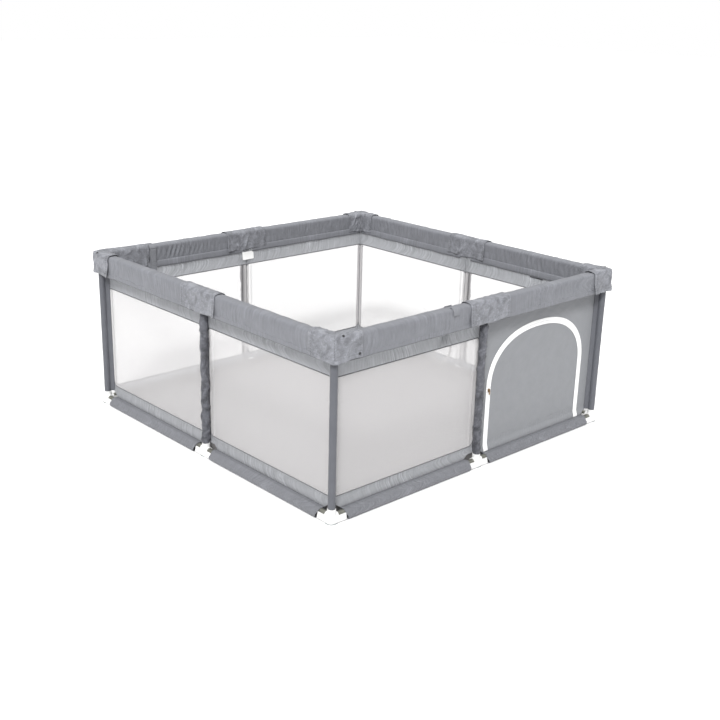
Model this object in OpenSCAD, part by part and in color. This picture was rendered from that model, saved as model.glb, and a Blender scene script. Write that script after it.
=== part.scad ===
// Square baby playpen: a steel tube frame that carries a sewn fabric body with padded
// rails, net windows, a zipped gate and pull-up rings. Millimetres, +Z up, origin on the
// floor at the centre. Side 0 is the gate side and faces -Y; sides 1, 2 and 3 follow it
// round and face +X, +Y and -X. In a side's own frame x runs along the side, with x = 0 at
// its middle, +y points inward and the side's rails lie on y = 0. A corner takes the number
// of the side that starts there, and its two rails run along +x and +y.

/* [Footprint and height] */
// Distance between the corner posts along X
pen_w = 1436; // [1360:4:1520]
// Distance between the corner posts along Y
pen_d = 1436; // [1360:4:1520]
// Height of the top rail's axis above the floor
rail_z = 610; // [600:5:640]

/* [Tubes] */
// Outer diameter of the posts and rails
tube_d = 22; // [20:1:22]
// Wall thickness of the steel tube
tube_wall = 0.8; // [0.8:0.1:1.4]

/* [Feet] */
// Height of a foot's collar above the floor
foot_h = 50; // [48:1:52]
// Outer diameter of a foot's collar
collar_d = 30; // [29:1:33]
// Reach of a corner foot's wings along the rails
corner_wing = 54; // [48:1:60]
// Reach of a mid foot's wings along the rails
mid_wing = 48; // [44:1:60]
// Diameter of a suction cup's rim
cup_d = 44; // [40:1:48]

/* [Padded rails] */
// Height of a padded rail cover
cover_h = 80; // [72:1:82]
// Thickness of a padded rail cover
cover_t = 48; // [44:1:48]
// Half the length of the loose cuff over each mid joint
cuff_half = 105; // [80:1:120]
// Usual length of a corner hood's arm, from the corner post's axis
hood_arm = 100; // [80:1:120]
// Length of the one long hood arm, at the back left corner
hood_long_arm = 212; // [200:1:213]

/* [Walls] */
// Inset of the walls' middle plane from the rail axes
wall_inset = 22; // [21:1:24]
// Height of the net windows' top edge
net_top = 498; // [480:1:520]
// Height of the net windows' bottom edge
net_bottom = 75; // [70:1:78]

/* [Gate] */
// Distance of the gate's centre line from the middle of its side
gate_x = 350; // [330:1:350]
// Half the width of the zip's arch
gate_half = 280; // [250:1:280]
// Height at which the arch's legs begin to curve
gate_spring = 280; // [240:1:300]
// Height of the arch's top
gate_top = 491; // [460:1:495]
// Width of each half of the zip tape
tape_w = 12; // [8:1:14]
// Height of the zip slider, on the arch's left leg
slider_z = 279; // [240:1:290]

/* [Pull rings] */
// Outer diameter of a pull ring
ring_d = 96; // [80:1:100]
// Diameter of a ring's bar
ring_bar = 9; // [7:1:10]
// Width of the webbing strap that holds a ring
strap_w = 30; // [24:1:34]

/* [Hidden] */
$fn = 48;
SIDES = ["front", "right", "back", "left"];
CORNERS = ["front_left", "front_right", "back_right", "back_left"];

// colours
steel = [0.55, 0.56, 0.57];
white_plastic = [0.93, 0.93, 0.92];
grey_plastic = [0.30, 0.30, 0.32];
rail_grey = [0.56, 0.57, 0.60];
band_grey = [0.66, 0.67, 0.69];
gate_grey = [0.62, 0.63, 0.65];
net_white = [0.90, 0.90, 0.90];
strap_grey = [0.38, 0.40, 0.46];
cup_clear = [0.80, 0.84, 0.84];
foam_cream = [0.90, 0.88, 0.80];
bronze = [0.45, 0.33, 0.22];

// frame
tube_r = tube_d / 2;
bore_r = tube_r - tube_wall;
socket_r = tube_r + 0.2;
collar_r = collar_d / 2;
joint_leg = 14;                     // from a joint's centre to the end of its tubes
spigot_len = 24;                    // how far a joint's spigot goes into a tube
low_rail_z = tube_r + 11;           // axis of the bottom rails
post_foot_z = joint_leg;            // lower end of the posts, inside the feet
foot_base_z = 4;                    // underside of the feet, above the suction cups
toe_r = 14;                         // radius of a foot's rounded outer toe
toe_out = 21;                       // reach of a foot's outer edge beyond the posts' axes
cradle_z = low_rail_z + 2;          // top of the feet's open wings, beside the rails

// fabric
fabric = 2;
gap = 0.3;
wall_out = wall_inset - fabric / 2;
wall_in = wall_inset + fabric / 2;
cover_end = 28;                     // from a joint's centre to the end of its covers
cover_top = rail_z + cover_h / 2;
cover_low = rail_z - cover_h / 2;
shell_half = cover_t / 2 + 4;       // half width of the hoods and cuffs
shell_top = cover_top + 10;
shell_t = 2.6;
sleeve_top = low_rail_z + tube_r + 4;
sleeve_corner = corner_wing + 2;    // from a corner post to the end of its bottom sleeves
sleeve_mid = mid_wing + 2;          // the same at a mid post
hinge_z = net_bottom + 5;

// pull rings, in their side's own frame
ring_r = ring_bar / 2;
ring_mid_r = ring_d / 2 - ring_r;
ring_axis_z = 524;
loop_r = ring_r + 3.1;
strap_t = 1.6;
strap_y = cover_t / 2 + gap;
ring_axis_y = strap_y + loop_r + strap_t;
RING_SIDES = [0, 2];
RING_X = [-182, pen_w / 2 - 230];   // along sides 0 and 2

// zip slider and pull, in the gate side's own frame
slider_x = gate_x - gate_half;
tape_t = 0.8;
slider_back = wall_out - tape_t - gap;
slider_front = slider_back - 4.4;
pull_bar_r = 0.9;
pull_axis_y = slider_front - 1.2;
pull_axis_z = slider_z - 2.4;

function side_len(i) = (i % 2 == 0) ? pen_w : pen_d;
function side_off(i) = (i % 2 == 0) ? pen_d / 2 : pen_w / 2;
function sleeve_len(i) = side_len(i) / 2 - sleeve_mid - sleeve_corner;
function signed_power(v, p) = sign(v) * pow(abs(v), p);

// The gate's arch: straight legs and a superellipse top, grown outward by g.
function arch_top(g, n = 36) = [
    for (k = [0:n]) let (t = 180 * k / n) [
        gate_x + (gate_half + g) * signed_power(cos(t), 2 / 2.3),
        gate_spring + (gate_top - gate_spring + g) * signed_power(sin(t), 2 / 2.3)
    ]
];
function arch(g, low) = concat(
    [[gate_x - gate_half - g, low], [gate_x + gate_half + g, low]],
    arch_top(g)
);

// ---- frames and shared shapes ----

module on_side(i) {
    rotate([0, 0, 90 * i]) translate([0, -side_off(i), 0]) children();
}

module on_corner(i) {
    rotate([0, 0, 90 * i]) translate([-side_len(i) / 2, -side_off(i), 0]) children();
}

// Extrudes an outline drawn in (y, z) along x.
module along_x(x0, length) {
    translate([x0, 0, 0]) rotate([90, 0, 90]) linear_extrude(length) children();
}

// Extrudes an outline drawn in (x, z) along y, from y0 inward.
module along_y(y0, length) {
    translate([0, y0 + length, 0]) rotate([90, 0, 0]) linear_extrude(length) children();
}

module rounded_rect(w, h, r) {
    square([w - 2 * r, h], center = true);
    square([w, h - 2 * r], center = true);
    for (sx = [-1, 1], sy = [-1, 1]) {
        translate([sx * (w / 2 - r), sy * (h / 2 - r)]) circle(r);
    }
}

// A rod along +x from the local origin.
module rod_x(r, length) {
    rotate([0, 90, 0]) cylinder(r = r, h = length);
}

module tube_x(x0, length) {
    translate([x0, 0, 0]) difference() {
        rod_x(tube_r, length);
        translate([-1, 0, 0]) rod_x(bore_r, length + 2);
    }
}

module plate(x0, x1, z0, z1, t) {
    translate([x0, wall_inset - t / 2, z0]) cube([x1 - x0, t, z1 - z0]);
}

// ---- feet ----

// A low wing of a foot, out along +x under its rail. Its outer edge is straight.
module foot_wing(toe, reach) {
    hull() {
        translate([toe[0], toe[1], foot_base_z]) cylinder(r = toe_r, h = 5, $fn = 32);
        translate([0, -toe_out, foot_base_z]) cube([reach - 4, toe_out + tube_r + 3, 4]);
        translate([collar_r - 2, 0, low_rail_z]) rod_x(tube_r + 3.4, 2, $fn = 32);
        translate([reach - 3, 0, low_rail_z]) rod_x(tube_r + 3, 3, $fn = 32);
    }
}

// One foot: a collar on a cone that spreads to its outer toe, with two wings. The second
// wing is the first one, mirrored across fold.
module foot_body(fold, toe, reach) {
    hull() {
        translate([toe[0], toe[1], foot_base_z]) cylinder(r = toe_r, h = 5, $fn = 32);
        translate([0, 0, foot_h - 15]) cylinder(r = collar_r, h = 3, $fn = 32);
    }
    for (side = [[0, 0, 0], fold]) {
        mirror(side) foot_wing(toe, reach);
    }
    cylinder(r = collar_r, h = foot_h - 1);
    translate([0, 0, foot_h - 1]) cylinder(r1 = collar_r, r2 = collar_r - 1, h = 1);
}

// The post's socket, the cup's stem hole, the rails' sockets and their open cradles.
module foot_sockets(fold, reach) {
    translate([0, 0, post_foot_z - 0.4]) cylinder(r = socket_r, h = foot_h);
    translate([0, 0, -1]) cylinder(r = 4.2, h = 11);
    translate([0, 0, -60]) cube([200, 200, 2 * (60 + foot_base_z)], center = true);
    for (side = [[0, 0, 0], fold]) {
        mirror(side) {
            translate([joint_leg - 0.4, 0, low_rail_z]) rod_x(socket_r, reach);
            translate([collar_r + 6, -40, cradle_z]) cube([reach, 80, 40]);
        }
    }
}

module corner_foot(i) {
    fold = [1, -1, 0];
    color(white_plastic) on_corner(i) difference() {
        foot_body(fold, [toe_r - toe_out, toe_r - toe_out], corner_wing);
        foot_sockets(fold, corner_wing);
    }
}

module mid_foot(i) {
    fold = [1, 0, 0];
    color(white_plastic) on_side(i) difference() {
        foot_body(fold, [0, toe_r - toe_out], mid_wing);
        foot_sockets(fold, mid_wing);
    }
}

module cup() {
    rotate_extrude() polygon([
        [0, 1.4], [cup_d / 2 - 6, 1.0], [cup_d / 2 - 4, 0], [cup_d / 2, 0],
        [cup_d / 2 - 3, 2.4], [12, 3.8], [4, 3.8], [4, 9], [0, 9]
    ]);
}

module suction_cups() {
    color(cup_clear) for (i = [0:3]) {
        on_corner(i) cup();
        on_side(i) cup();
    }
}

// ---- tubes and their joints ----

module post() {
    translate([0, 0, post_foot_z]) difference() {
        cylinder(r = tube_r, h = rail_z - joint_leg - post_foot_z);
        translate([0, 0, -1]) cylinder(r = bore_r, h = rail_z);
    }
}

module corner_post(i) {
    color(steel) on_corner(i) post();
}

module mid_post(i) {
    color(steel) on_side(i) post();
}

// The two rails of one side, each from a corner joint to the mid joint.
module rail_pair(i, z) {
    length = side_len(i) / 2 - 2 * joint_leg;
    on_side(i) translate([0, 0, z]) {
        tube_x(joint_leg, length);
        tube_x(-joint_leg - length, length);
    }
}

module bottom_rails(i) {
    color(steel) rail_pair(i, low_rail_z);
}

module top_rails(i) {
    color(steel) rail_pair(i, rail_z);
}

// A moulded joint: a collar out to each tube and a spigot inside it.
module tube_joint(angles) {
    collar = tube_r + 1.5;
    sphere(r = collar);
    for (a = angles) {
        rotate(a) {
            rod_x(collar, joint_leg);
            rod_x(bore_r - 0.2, joint_leg + spigot_len);
        }
    }
}

module top_joints() {
    down = [0, 90, 0];
    color(grey_plastic) for (i = [0:3]) {
        on_corner(i) translate([0, 0, rail_z]) tube_joint([[0, 0, 0], [0, 0, 90], down]);
        on_side(i) translate([0, 0, rail_z]) tube_joint([[0, 0, 0], [0, 0, 180], down]);
    }
}

// ---- padded rails ----

module both_halves(i) {
    length = side_len(i) / 2 - 2 * cover_end;
    on_side(i) for (x0 = [cover_end, -cover_end - length]) {
        along_x(x0, length) translate([0, rail_z]) children();
    }
}

module rail_foam() {
    color(foam_cream) for (i = [0:3]) {
        both_halves(i) difference() {
            rounded_rect(cover_t - 4.4, cover_h - 4.4, 15.8);
            circle(socket_r);
        }
    }
}

module rail_covers(i) {
    color(rail_grey) both_halves(i) difference() {
        rounded_rect(cover_t, cover_h, 18);
        rounded_rect(cover_t - 4, cover_h - 4, 16);
    }
}

// Outline of a loose cover over the padded rail, filled down to its hem.
module saddle(half, top, r) {
    translate([-half, cover_low + 1]) square([2 * half, top - r - cover_low - 1]);
    translate([r - half, cover_low + 1]) square([2 * (half - r), top - cover_low - 1]);
    for (s = [-1, 1]) {
        translate([s * (half - r), top - r]) circle(r);
    }
}

module hood_volume(half, top, r, arm_x, arm_y) {
    along_x(-half, half + arm_x) saddle(half, top, r);
    mirror([1, -1, 0]) along_x(-half, half + arm_y) saddle(half, top, r);
}

// Opens the loose covers along their hems.
module below_hems() {
    translate([0, 0, cover_low - 18]) cube([600, 600, 40], center = true);
}

module corner_hood(i) {
    arm_y = (CORNERS[i] == "back_left") ? hood_long_arm : hood_arm;
    color(rail_grey) on_corner(i) difference() {
        hood_volume(shell_half, shell_top, 18, hood_arm, arm_y);
        hood_volume(shell_half - shell_t, shell_top - 3, 16, hood_arm + 1, arm_y + 1);
        below_hems();
    }
}

module mid_cuff(i) {
    color(rail_grey) on_side(i) difference() {
        along_x(-cuff_half, 2 * cuff_half) saddle(shell_half, shell_top - 3, 18);
        along_x(-cuff_half - 1, 2 * cuff_half + 2) saddle(shell_half - shell_t, shell_top - 6, 16);
        below_hems();
    }
}

// ---- sewn body ----

module post_sleeve() {
    low = foot_h + 2;
    tall = cover_low - 2 - low;
    translate([0, 0, low]) difference() {
        cylinder(r = tube_r + 1.8, h = tall);
        translate([0, 0, -1]) cylinder(r = socket_r + 0.1, h = tall + 2);
    }
}

// A sewn web joins each post's sleeve to the wall, from the sleeve out to reach.
module web(reach) {
    low = foot_h + 2;
    translate([tube_r + 1.6, -0.8, low]) cube([reach - tube_r - 1.6, 1.6, cover_low - 2 - low]);
}

module post_sleeves() {
    color(rail_grey) for (i = [0:3]) {
        on_corner(i) {
            post_sleeve();
            rotate([0, 0, 45]) web(wall_out * sqrt(2) - 0.8);
        }
        on_side(i) {
            post_sleeve();
            rotate([0, 0, 90]) web(wall_out);
        }
    }
}

module bottom_sleeves() {
    color(rail_grey) for (i = [0:3]) {
        on_side(i) for (x0 = [sleeve_mid, -sleeve_mid - sleeve_len(i)]) {
            along_x(x0, sleeve_len(i)) difference() {
                polygon([
                    [-3, sleeve_top], [4, sleeve_top], [14, 27], [15, 8], [12, 2],
                    [-21, 2], [-25, 7], [-24, 12]
                ]);
                translate([0, low_rail_z]) circle(socket_r + 0.1);
            }
        }
    }
}

module floor_sheet() {
    edge = 17;
    color(band_grey) translate([0, 0, 0.6]) linear_extrude(1.8) difference() {
        square([pen_w - 2 * edge, pen_d - 2 * edge], center = true);
        for (i = [0:3]) {
            on_corner(i) circle(cup_d / 2 + 3);
            on_side(i) circle(cup_d / 2 + 3);
        }
    }
}

// Each wall covers the corner at its own start and stops at the next wall.
function wall_x0(i) = -side_len(i) / 2 + wall_out;
function wall_x1(i) = side_len(i) / 2 - wall_in;

// The lower band's apron, from the wall down to the bottom sleeve's seam.
module apron(x0, length) {
    along_x(x0, length) polygon([
        [wall_out, hinge_z - 20], [wall_in, hinge_z - 20], [wall_in, hinge_z - 24],
        [3, sleeve_top + gap], [0, sleeve_top + gap]
    ]);
}

module bands(i, x0, x1) {
    plate(x0, x1, net_top, cover_low - gap, fabric);
    plate(x0, x1, foot_h - 6, net_bottom, fabric);
}

module wall_bands(i) {
    color(band_grey) on_side(i) {
        bands(i, wall_x0(i), (i == 0) ? 0 : wall_x1(i));
        apron(-sleeve_mid - sleeve_len(i), sleeve_len(i));
        if (i > 0) apron(sleeve_mid, sleeve_len(i));
    }
}

module net_windows(i) {
    color(net_white) on_side(i) {
        plate(wall_x0(i), 0, net_bottom, net_top, fabric / 2);
        if (i > 0) plate(0, wall_x1(i), net_bottom, net_top, fabric / 2);
    }
}

// ---- gate ----

module gate_panel() {
    color(gate_grey) on_side(0) {
        difference() {
            plate(0, wall_x1(0), foot_h - 6, cover_low - gap, fabric);
            along_y(0, 60) polygon(arch(gap, hinge_z - gap));
        }
        apron(sleeve_mid, sleeve_len(0));
    }
}

module gate_flap() {
    color(gate_grey) on_side(0) along_y(wall_out, fabric) polygon(arch(-gap, hinge_z));
}

// One half of the zip tape, between two outlines of the arch, on the outer face.
module tape(outer, inner, low) {
    color(white_plastic) on_side(0) along_y(wall_out - tape_t, tape_t) difference() {
        polygon(arch(outer, low));
        polygon(arch(inner, low - 5));
    }
}

module zip_tape_fixed() {
    tape(tape_w, gap, hinge_z);
}

module zip_tape_flap() {
    tape(-gap, -tape_w, hinge_z);
}

module zip_slider() {
    bridge = 1.3;
    reach = 2.4 + bridge;
    color(bronze) on_side(0) translate([slider_x, slider_front, slider_z]) {
        along_y(0, 4.4) rounded_rect(9, 13, 3);
        difference() {
            translate([-1, -reach, -4.7]) cube([2, reach + 1, 9.4]);
            translate([-2, -2.4, -3.4]) cube([4, 2.4, 6.8]);
        }
    }
}

module zip_pull() {
    window = 4.6;
    half = 3;
    plate_h = 10;
    color(bronze) on_side(0) translate([slider_x, pull_axis_y, pull_axis_z]) {
        translate([-half, 0, 0]) rod_x(pull_bar_r, 2 * half);
        for (x = [-half, 1.4]) {
            translate([x, -0.8, -window - 2]) cube([half - 1.4, 1.6, window + 2]);
        }
        along_y(-0.8, 1.6) difference() {
            translate([0, -window - plate_h / 2]) rounded_rect(2 * half, plate_h, 2.6);
            translate([0, -window - plate_h + 3.4]) circle(1.3);
        }
    }
}

// ---- pull rings ----

module ring_strap() {
    over_w = cover_t + 2 * (gap + strap_t);
    over_h = cover_h + 2 * (gap + strap_t);
    along_x(-strap_w / 2, strap_w) {
        difference() {
            translate([0, rail_z]) rounded_rect(over_w, over_h, 20);
            translate([0, rail_z]) rounded_rect(cover_t + 2 * gap, cover_h + 2 * gap, 18.4);
            translate([-60, 0]) square([60, rail_z - 22]);
            translate([-1, 0]) square([60, rail_z]);
        }
        translate([strap_y, ring_axis_z]) square([strap_t, rail_z - ring_axis_z]);
        translate([ring_axis_y, ring_axis_z]) difference() {
            circle(loop_r + strap_t);
            circle(loop_r);
        }
    }
}

module ring_straps() {
    color(strap_grey) for (k = [0, 1]) {
        on_side(RING_SIDES[k]) translate([RING_X[k], 0, 0]) ring_strap();
    }
}

module pull_ring(k) {
    color(white_plastic) on_side(RING_SIDES[k]) {
        translate([RING_X[k], ring_axis_y, ring_axis_z - ring_mid_r]) rotate([90, 0, 0])
            rotate_extrude() translate([ring_mid_r, 0]) circle(ring_r);
    }
}

// ---- output ----

for (i = [0:3]) {
    corner_foot(i);
    corner_post(i);
    corner_hood(i);
    mid_foot(i);
    mid_post(i);
    bottom_rails(i);
    top_rails(i);
    rail_covers(i);
    mid_cuff(i);
    wall_bands(i);
    net_windows(i);
}
for (k = [0, 1]) {
    pull_ring(k);
}
suction_cups();
top_joints();
rail_foam();
post_sleeves();
bottom_sleeves();
floor_sheet();
gate_panel();
gate_flap();
zip_tape_fixed();
zip_tape_flap();
zip_slider();
zip_pull();
ring_straps();
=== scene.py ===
import math
import bpy
import numpy as np
from mathutils import Matrix, Vector


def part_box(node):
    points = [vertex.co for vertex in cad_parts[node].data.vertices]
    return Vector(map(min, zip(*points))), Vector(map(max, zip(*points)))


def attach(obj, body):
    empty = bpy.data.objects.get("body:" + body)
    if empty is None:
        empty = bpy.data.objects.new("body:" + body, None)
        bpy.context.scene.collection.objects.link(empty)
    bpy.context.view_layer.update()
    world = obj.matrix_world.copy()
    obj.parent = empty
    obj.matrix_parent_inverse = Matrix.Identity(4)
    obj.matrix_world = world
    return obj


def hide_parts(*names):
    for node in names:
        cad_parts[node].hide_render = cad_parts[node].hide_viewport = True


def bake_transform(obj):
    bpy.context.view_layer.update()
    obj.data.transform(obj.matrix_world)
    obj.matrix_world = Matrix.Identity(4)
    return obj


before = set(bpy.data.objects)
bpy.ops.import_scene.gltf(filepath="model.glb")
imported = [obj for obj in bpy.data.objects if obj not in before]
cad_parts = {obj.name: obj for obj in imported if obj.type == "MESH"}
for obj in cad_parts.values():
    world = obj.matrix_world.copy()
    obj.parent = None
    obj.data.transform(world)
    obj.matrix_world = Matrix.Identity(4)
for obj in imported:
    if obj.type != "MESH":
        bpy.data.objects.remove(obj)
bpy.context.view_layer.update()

# The looks of a square fabric playpen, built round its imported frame. Everything is in metres.
# Side 0 is the gate side and faces -Y; sides 1, 2 and 3 follow it round and face +X, +Y and -X.
# In a side's own frame x runs along the side, +y points inward and its rails lie on y = 0.
# In a corner's own frame its two rails run along +x and +y from the corner post.

BODY = "playpen"
SIDES = ("front", "right", "back", "left")
CORNERS = ("front_left", "front_right", "back_right", "back_left")
MM = 0.001


# ---- sizes taken from the frame ----

def low_corner(node):
    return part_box(node)[0]


def high_corner(node):
    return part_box(node)[1]


def middle(node):
    low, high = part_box(node)
    return (low + high) / 2


FIRST_POST = middle("corner_post_front_left")
HALF_X, HALF_Y = -FIRST_POST.x, -FIRST_POST.y
TUBE_R = high_corner("corner_post_front_left").x - FIRST_POST.x
RAIL_Z = middle("top_rails_front").z
LOW_RAIL_Z = middle("bottom_rails_front").z
COVER_LOW, COVER_TOP = low_corner("rail_covers_front").z, high_corner("rail_covers_front").z
COVER_HALF = high_corner("rail_covers_front").y + HALF_Y
COVER_END = low_corner("rail_covers_front").x + HALF_X
SHELL_HALF = -HALF_Y - low_corner("corner_hood_front_left").y
HOOD_TOP = high_corner("corner_hood_front_left").z
HOOD_HEM = low_corner("corner_hood_front_left").z
HOOD_ARM = high_corner("corner_hood_front_left").x + HALF_X
LONG_ARM = high_corner("corner_hood_back_left").x + HALF_X
CUFF_TOP = high_corner("mid_cuff_front").z
CUFF_HALF = high_corner("mid_cuff_front").x
NET_LOW, NET_HIGH = low_corner("net_windows_left").z, high_corner("net_windows_left").z
WALL_Y = middle("net_windows_front").y + HALF_Y
FOOT_TOP = high_corner("corner_foot_front_left").z
FLAP_LOW, FLAP_HIGH = low_corner("gate_flap").z, high_corner("gate_flap").z
GATE_X = middle("gate_flap").x
TAPE_W = high_corner("zip_tape_fixed").x - high_corner("gate_flap").x
GATE_HALF = (high_corner("gate_flap").x - low_corner("gate_flap").x) / 2
GATE_SPRING = 0.280
ARCH_POWER = 2 / 2.3


def half_len(i):
    return HALF_X if i % 2 == 0 else HALF_Y


def side_frame(i):
    off = HALF_Y if i % 2 == 0 else HALF_X
    return Matrix.Rotation(math.radians(90 * i), 4, "Z") @ Matrix.Translation((0, -off, 0))


def corner_frame(i):
    return side_frame(i) @ Matrix.Translation((-half_len(i), 0, 0))


def placed(points, matrix):
    m = np.array(matrix)
    return points @ m[:3, :3].T + m[:3, 3]


def unit(values):
    return np.clip(values, 0, 1)


def smooth(t):
    t = unit(t)
    return t * t * (3 - 2 * t)


def grid_of(x, y, z):
    """Points (x, y, z) of a grid, each coordinate spread over the grid as needed."""
    return np.stack(np.broadcast_arrays(x, y, z), -1)


# ---- materials ----

def new_material(name):
    material = bpy.data.materials.new(name)
    material.use_nodes = True
    tree = material.node_tree
    shader = tree.nodes["Principled BSDF"]
    return material, tree, shader


def node(tree, kind, **values):
    made = tree.nodes.new(kind)
    for key, value in values.items():
        if key in made.inputs:
            made.inputs[key].default_value = value
        else:
            setattr(made, key, value)
    return made


def fill(made, values):
    """Sets a node's inputs by name or number: a socket is linked, anything else is the value."""
    for key, value in values.items():
        if isinstance(value, bpy.types.NodeSocket):
            made.id_data.links.new(value, made.inputs[key])
        else:
            made.inputs[key].default_value = value


def math_node(operation, a, b=None):
    tree = (b if isinstance(a, (int, float)) else a).id_data
    made = tree.nodes.new("ShaderNodeMath")
    made.operation = operation
    fill(made, {0: a} if b is None else {0: a, 1: b})
    return made.outputs[0]


def multiply(a, b):
    return math_node("MULTIPLY", a, b)


def add(a, b):
    return math_node("ADD", a, b)


def subtract(a, b):
    return math_node("SUBTRACT", a, b)


def scale_add(value, factor, offset):
    return add(multiply(value, factor), offset)


def bump(tree, shader, height, strength, distance, under=None):
    """Adds a bump to the shader, over another bump's normal if one is given; returns its normal."""
    made = node(tree, "ShaderNodeBump", Strength=strength, Distance=distance)
    fill(made, {"Height": height, "Normal": under} if under else {"Height": height})
    fill(shader, {"Normal": made.outputs[0]})
    return made.outputs[0]


def stretched(tree, vector, scale):
    made = tree.nodes.new("ShaderNodeMapping")
    fill(made, {"Scale": scale, "Vector": vector})
    return made.outputs[0]


def cloth_coordinates(tree):
    """The cloth's own coordinates in metres: u and v across the weave."""
    uv = tree.nodes.new("ShaderNodeUVMap")
    uv.uv_map = "cloth"
    split = tree.nodes.new("ShaderNodeSeparateXYZ")
    fill(split, {0: uv.outputs[0]})
    return uv.outputs[0], split.outputs[0], split.outputs[1]


def noise(tree, vector, scale, detail=3.0, roughness=0.5):
    made = node(tree, "ShaderNodeTexNoise", Scale=scale, Detail=detail, Roughness=roughness)
    fill(made, {"Vector": vector})
    return made.outputs["Fac"]


def tone(tree, factor, dark, light, low=0.3, high=0.7):
    """A colour that runs from dark to light as factor runs from low to high."""
    ramp = tree.nodes.new("ShaderNodeValToRGB")
    for stop, place, colour in zip(ramp.color_ramp.elements, (low, high), (dark, light)):
        stop.position, stop.color = place, (*colour, 1)
    fill(ramp, {0: factor})
    return ramp.outputs[0]


def scaled(colour, factor):
    return tuple(min(1.0, c * factor) for c in colour)


def painted_fold_streaks(tree, vector, amount):
    """Painted light and dark lines across u that stand in for the shading of folds, strong in some stretches
    of the cloth and faint in others.
    """
    narrow = stretched(tree, vector, (1.0, 0.07, 1.0))
    lines = subtract(noise(tree, narrow, 105.0, 1.5, 0.6), 0.5)
    where = subtract(noise(tree, vector, 5.0, 1.0), 0.36)
    where = math_node("MAXIMUM", multiply(where, 4.0), 0.15)
    return multiply(multiply(lines, where), amount)


def painted_crumple_shading(tree, vector, amount):
    """Painted shade and highlights of crumpled cloth: darker and lighter facets and painted light ridges
    between them, running every way.
    """
    facets = node(tree, "ShaderNodeTexNoise", Scale=30.0, Detail=1.5, Roughness=0.5, Distortion=1.0)
    ridges = node(tree, "ShaderNodeTexNoise", Scale=42.0, Detail=1.0, Roughness=0.4, Distortion=2.2)
    fill(facets, {"Vector": vector})
    fill(ridges, {"Vector": vector})
    across = math_node("ABSOLUTE", subtract(ridges.outputs["Fac"], 0.5))
    line = math_node("MAXIMUM", subtract(0.05, across), 0.0)
    broad = subtract(facets.outputs["Fac"], 0.52)
    both = add(broad, multiply(line, 6.0))
    return multiply(both, amount)


def woven(name, colour, thread=1.1 * MM, roughness=0.75, sheen=0.15, contrast=0.10, crease=0.25,
          translucent=0.0, slub=0.12, painted_streak=0.0, painted_crumple=0.0):
    """Plain-woven cloth: crossing threads, slubs, mottling and fine creases. The last two settings say how
    much painted shade and painted highlight of folds go into its colour: in lines across u, and in patches of
    every direction."""
    material, tree, shader = new_material(name)
    vector, u, v = cloth_coordinates(tree)
    across = math_node("SINE", multiply(u, math.pi / thread))
    along = math_node("SINE", multiply(v, math.pi / thread))
    weave = scale_add(multiply(across, along), 0.5, 0.5)

    slubs = noise(tree, stretched(tree, vector, (1.0, 0.06, 1.0)), 900.0, 2.0)
    mottle = noise(tree, vector, 26.0, 4.0, 0.6)
    creases = noise(tree, vector, 120.0, 5.0, 0.55)

    mixed = scale_add(mottle, 1.0 - slub, multiply(slubs, slub))
    mixed = scale_add(mixed, 0.8, multiply(weave, 0.2))
    shade = tone(tree, mixed, scaled(colour, 1 - contrast), scaled(colour, 1 + contrast))
    # Painted shade and highlights of folds, multiplied into the cloth's colour.
    if painted_streak or painted_crumple:
        folds = add(painted_fold_streaks(tree, vector, painted_streak), painted_crumple_shading(tree, vector, painted_crumple))
        shine = node(tree, "ShaderNodeMixRGB", blend_type="MULTIPLY")
        fill(shine, {0: 1.0, 1: shade, 2: add(folds, 1.0)})
        shade = shine.outputs[0]
    fill(shader, {"Base Color": shade, "Roughness": scale_add(creases, 0.12, roughness - 0.06),
                  "Sheen Weight": sheen, "Sheen Roughness": 0.4, "Specular IOR Level": 0.35})
    fine = bump(tree, shader, weave, 0.35, 0.12 * MM)
    coarse = bump(tree, shader, creases, crease, 1.0 * MM, fine)

    if translucent:
        through = tree.nodes.new("ShaderNodeBsdfTranslucent")
        fill(through, {"Color": shade, "Normal": coarse})
        mix = tree.nodes.new("ShaderNodeMixShader")
        fill(mix, {0: translucent, 1: shader.outputs[0], 2: through.outputs[0]})
        fill(tree.nodes["Material Output"], {"Surface": mix.outputs[0]})
    return material


def netting(name, colour, cell=2.4 * MM, cover=0.34, thin=0.36, thick=0.80):
    """Fine knitted net seen through: cells between threads, each let light by in its own share."""
    material, tree, shader = new_material(name)
    vector, u, v = cloth_coordinates(tree)
    plus = multiply(add(u, v), math.pi / cell)
    minus = multiply(subtract(u, v), math.pi / cell)
    one = math_node("ABSOLUTE", math_node("SINE", plus))
    two = math_node("ABSOLUTE", math_node("SINE", minus))
    hole = math_node("MINIMUM", one, two)
    thread = math_node("LESS_THAN", hole, cover)
    knots = noise(tree, vector, 400.0, 2.0)
    shade = tone(tree, knots, scaled(colour, 0.93), colour)
    fill(shader, {"Base Color": shade, "Roughness": 0.7, "Specular IOR Level": 0.2,
                  "Alpha": scale_add(thread, thick - thin, thin)})
    return material


def webbing(name, colour):
    """Narrow-woven tape: strong ribs across and a plain selvedge."""
    material, tree, shader = new_material(name)
    vector, u, v = cloth_coordinates(tree)
    ribs = math_node("SINE", multiply(u, math.tau / (1.6 * MM)))
    cords = math_node("SINE", multiply(v, math.tau / (2.2 * MM)))
    height = scale_add(ribs, 0.35, multiply(cords, 0.15))
    mottle = noise(tree, vector, 300.0, 3.0)
    mixed = scale_add(mottle, 0.8, multiply(height, 0.2))
    shade = tone(tree, mixed, scaled(colour, 0.8), scaled(colour, 1.15))
    fill(shader, {"Base Color": shade, "Roughness": 0.8})
    bump(tree, shader, height, 0.6, 0.3 * MM)
    return material


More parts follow.
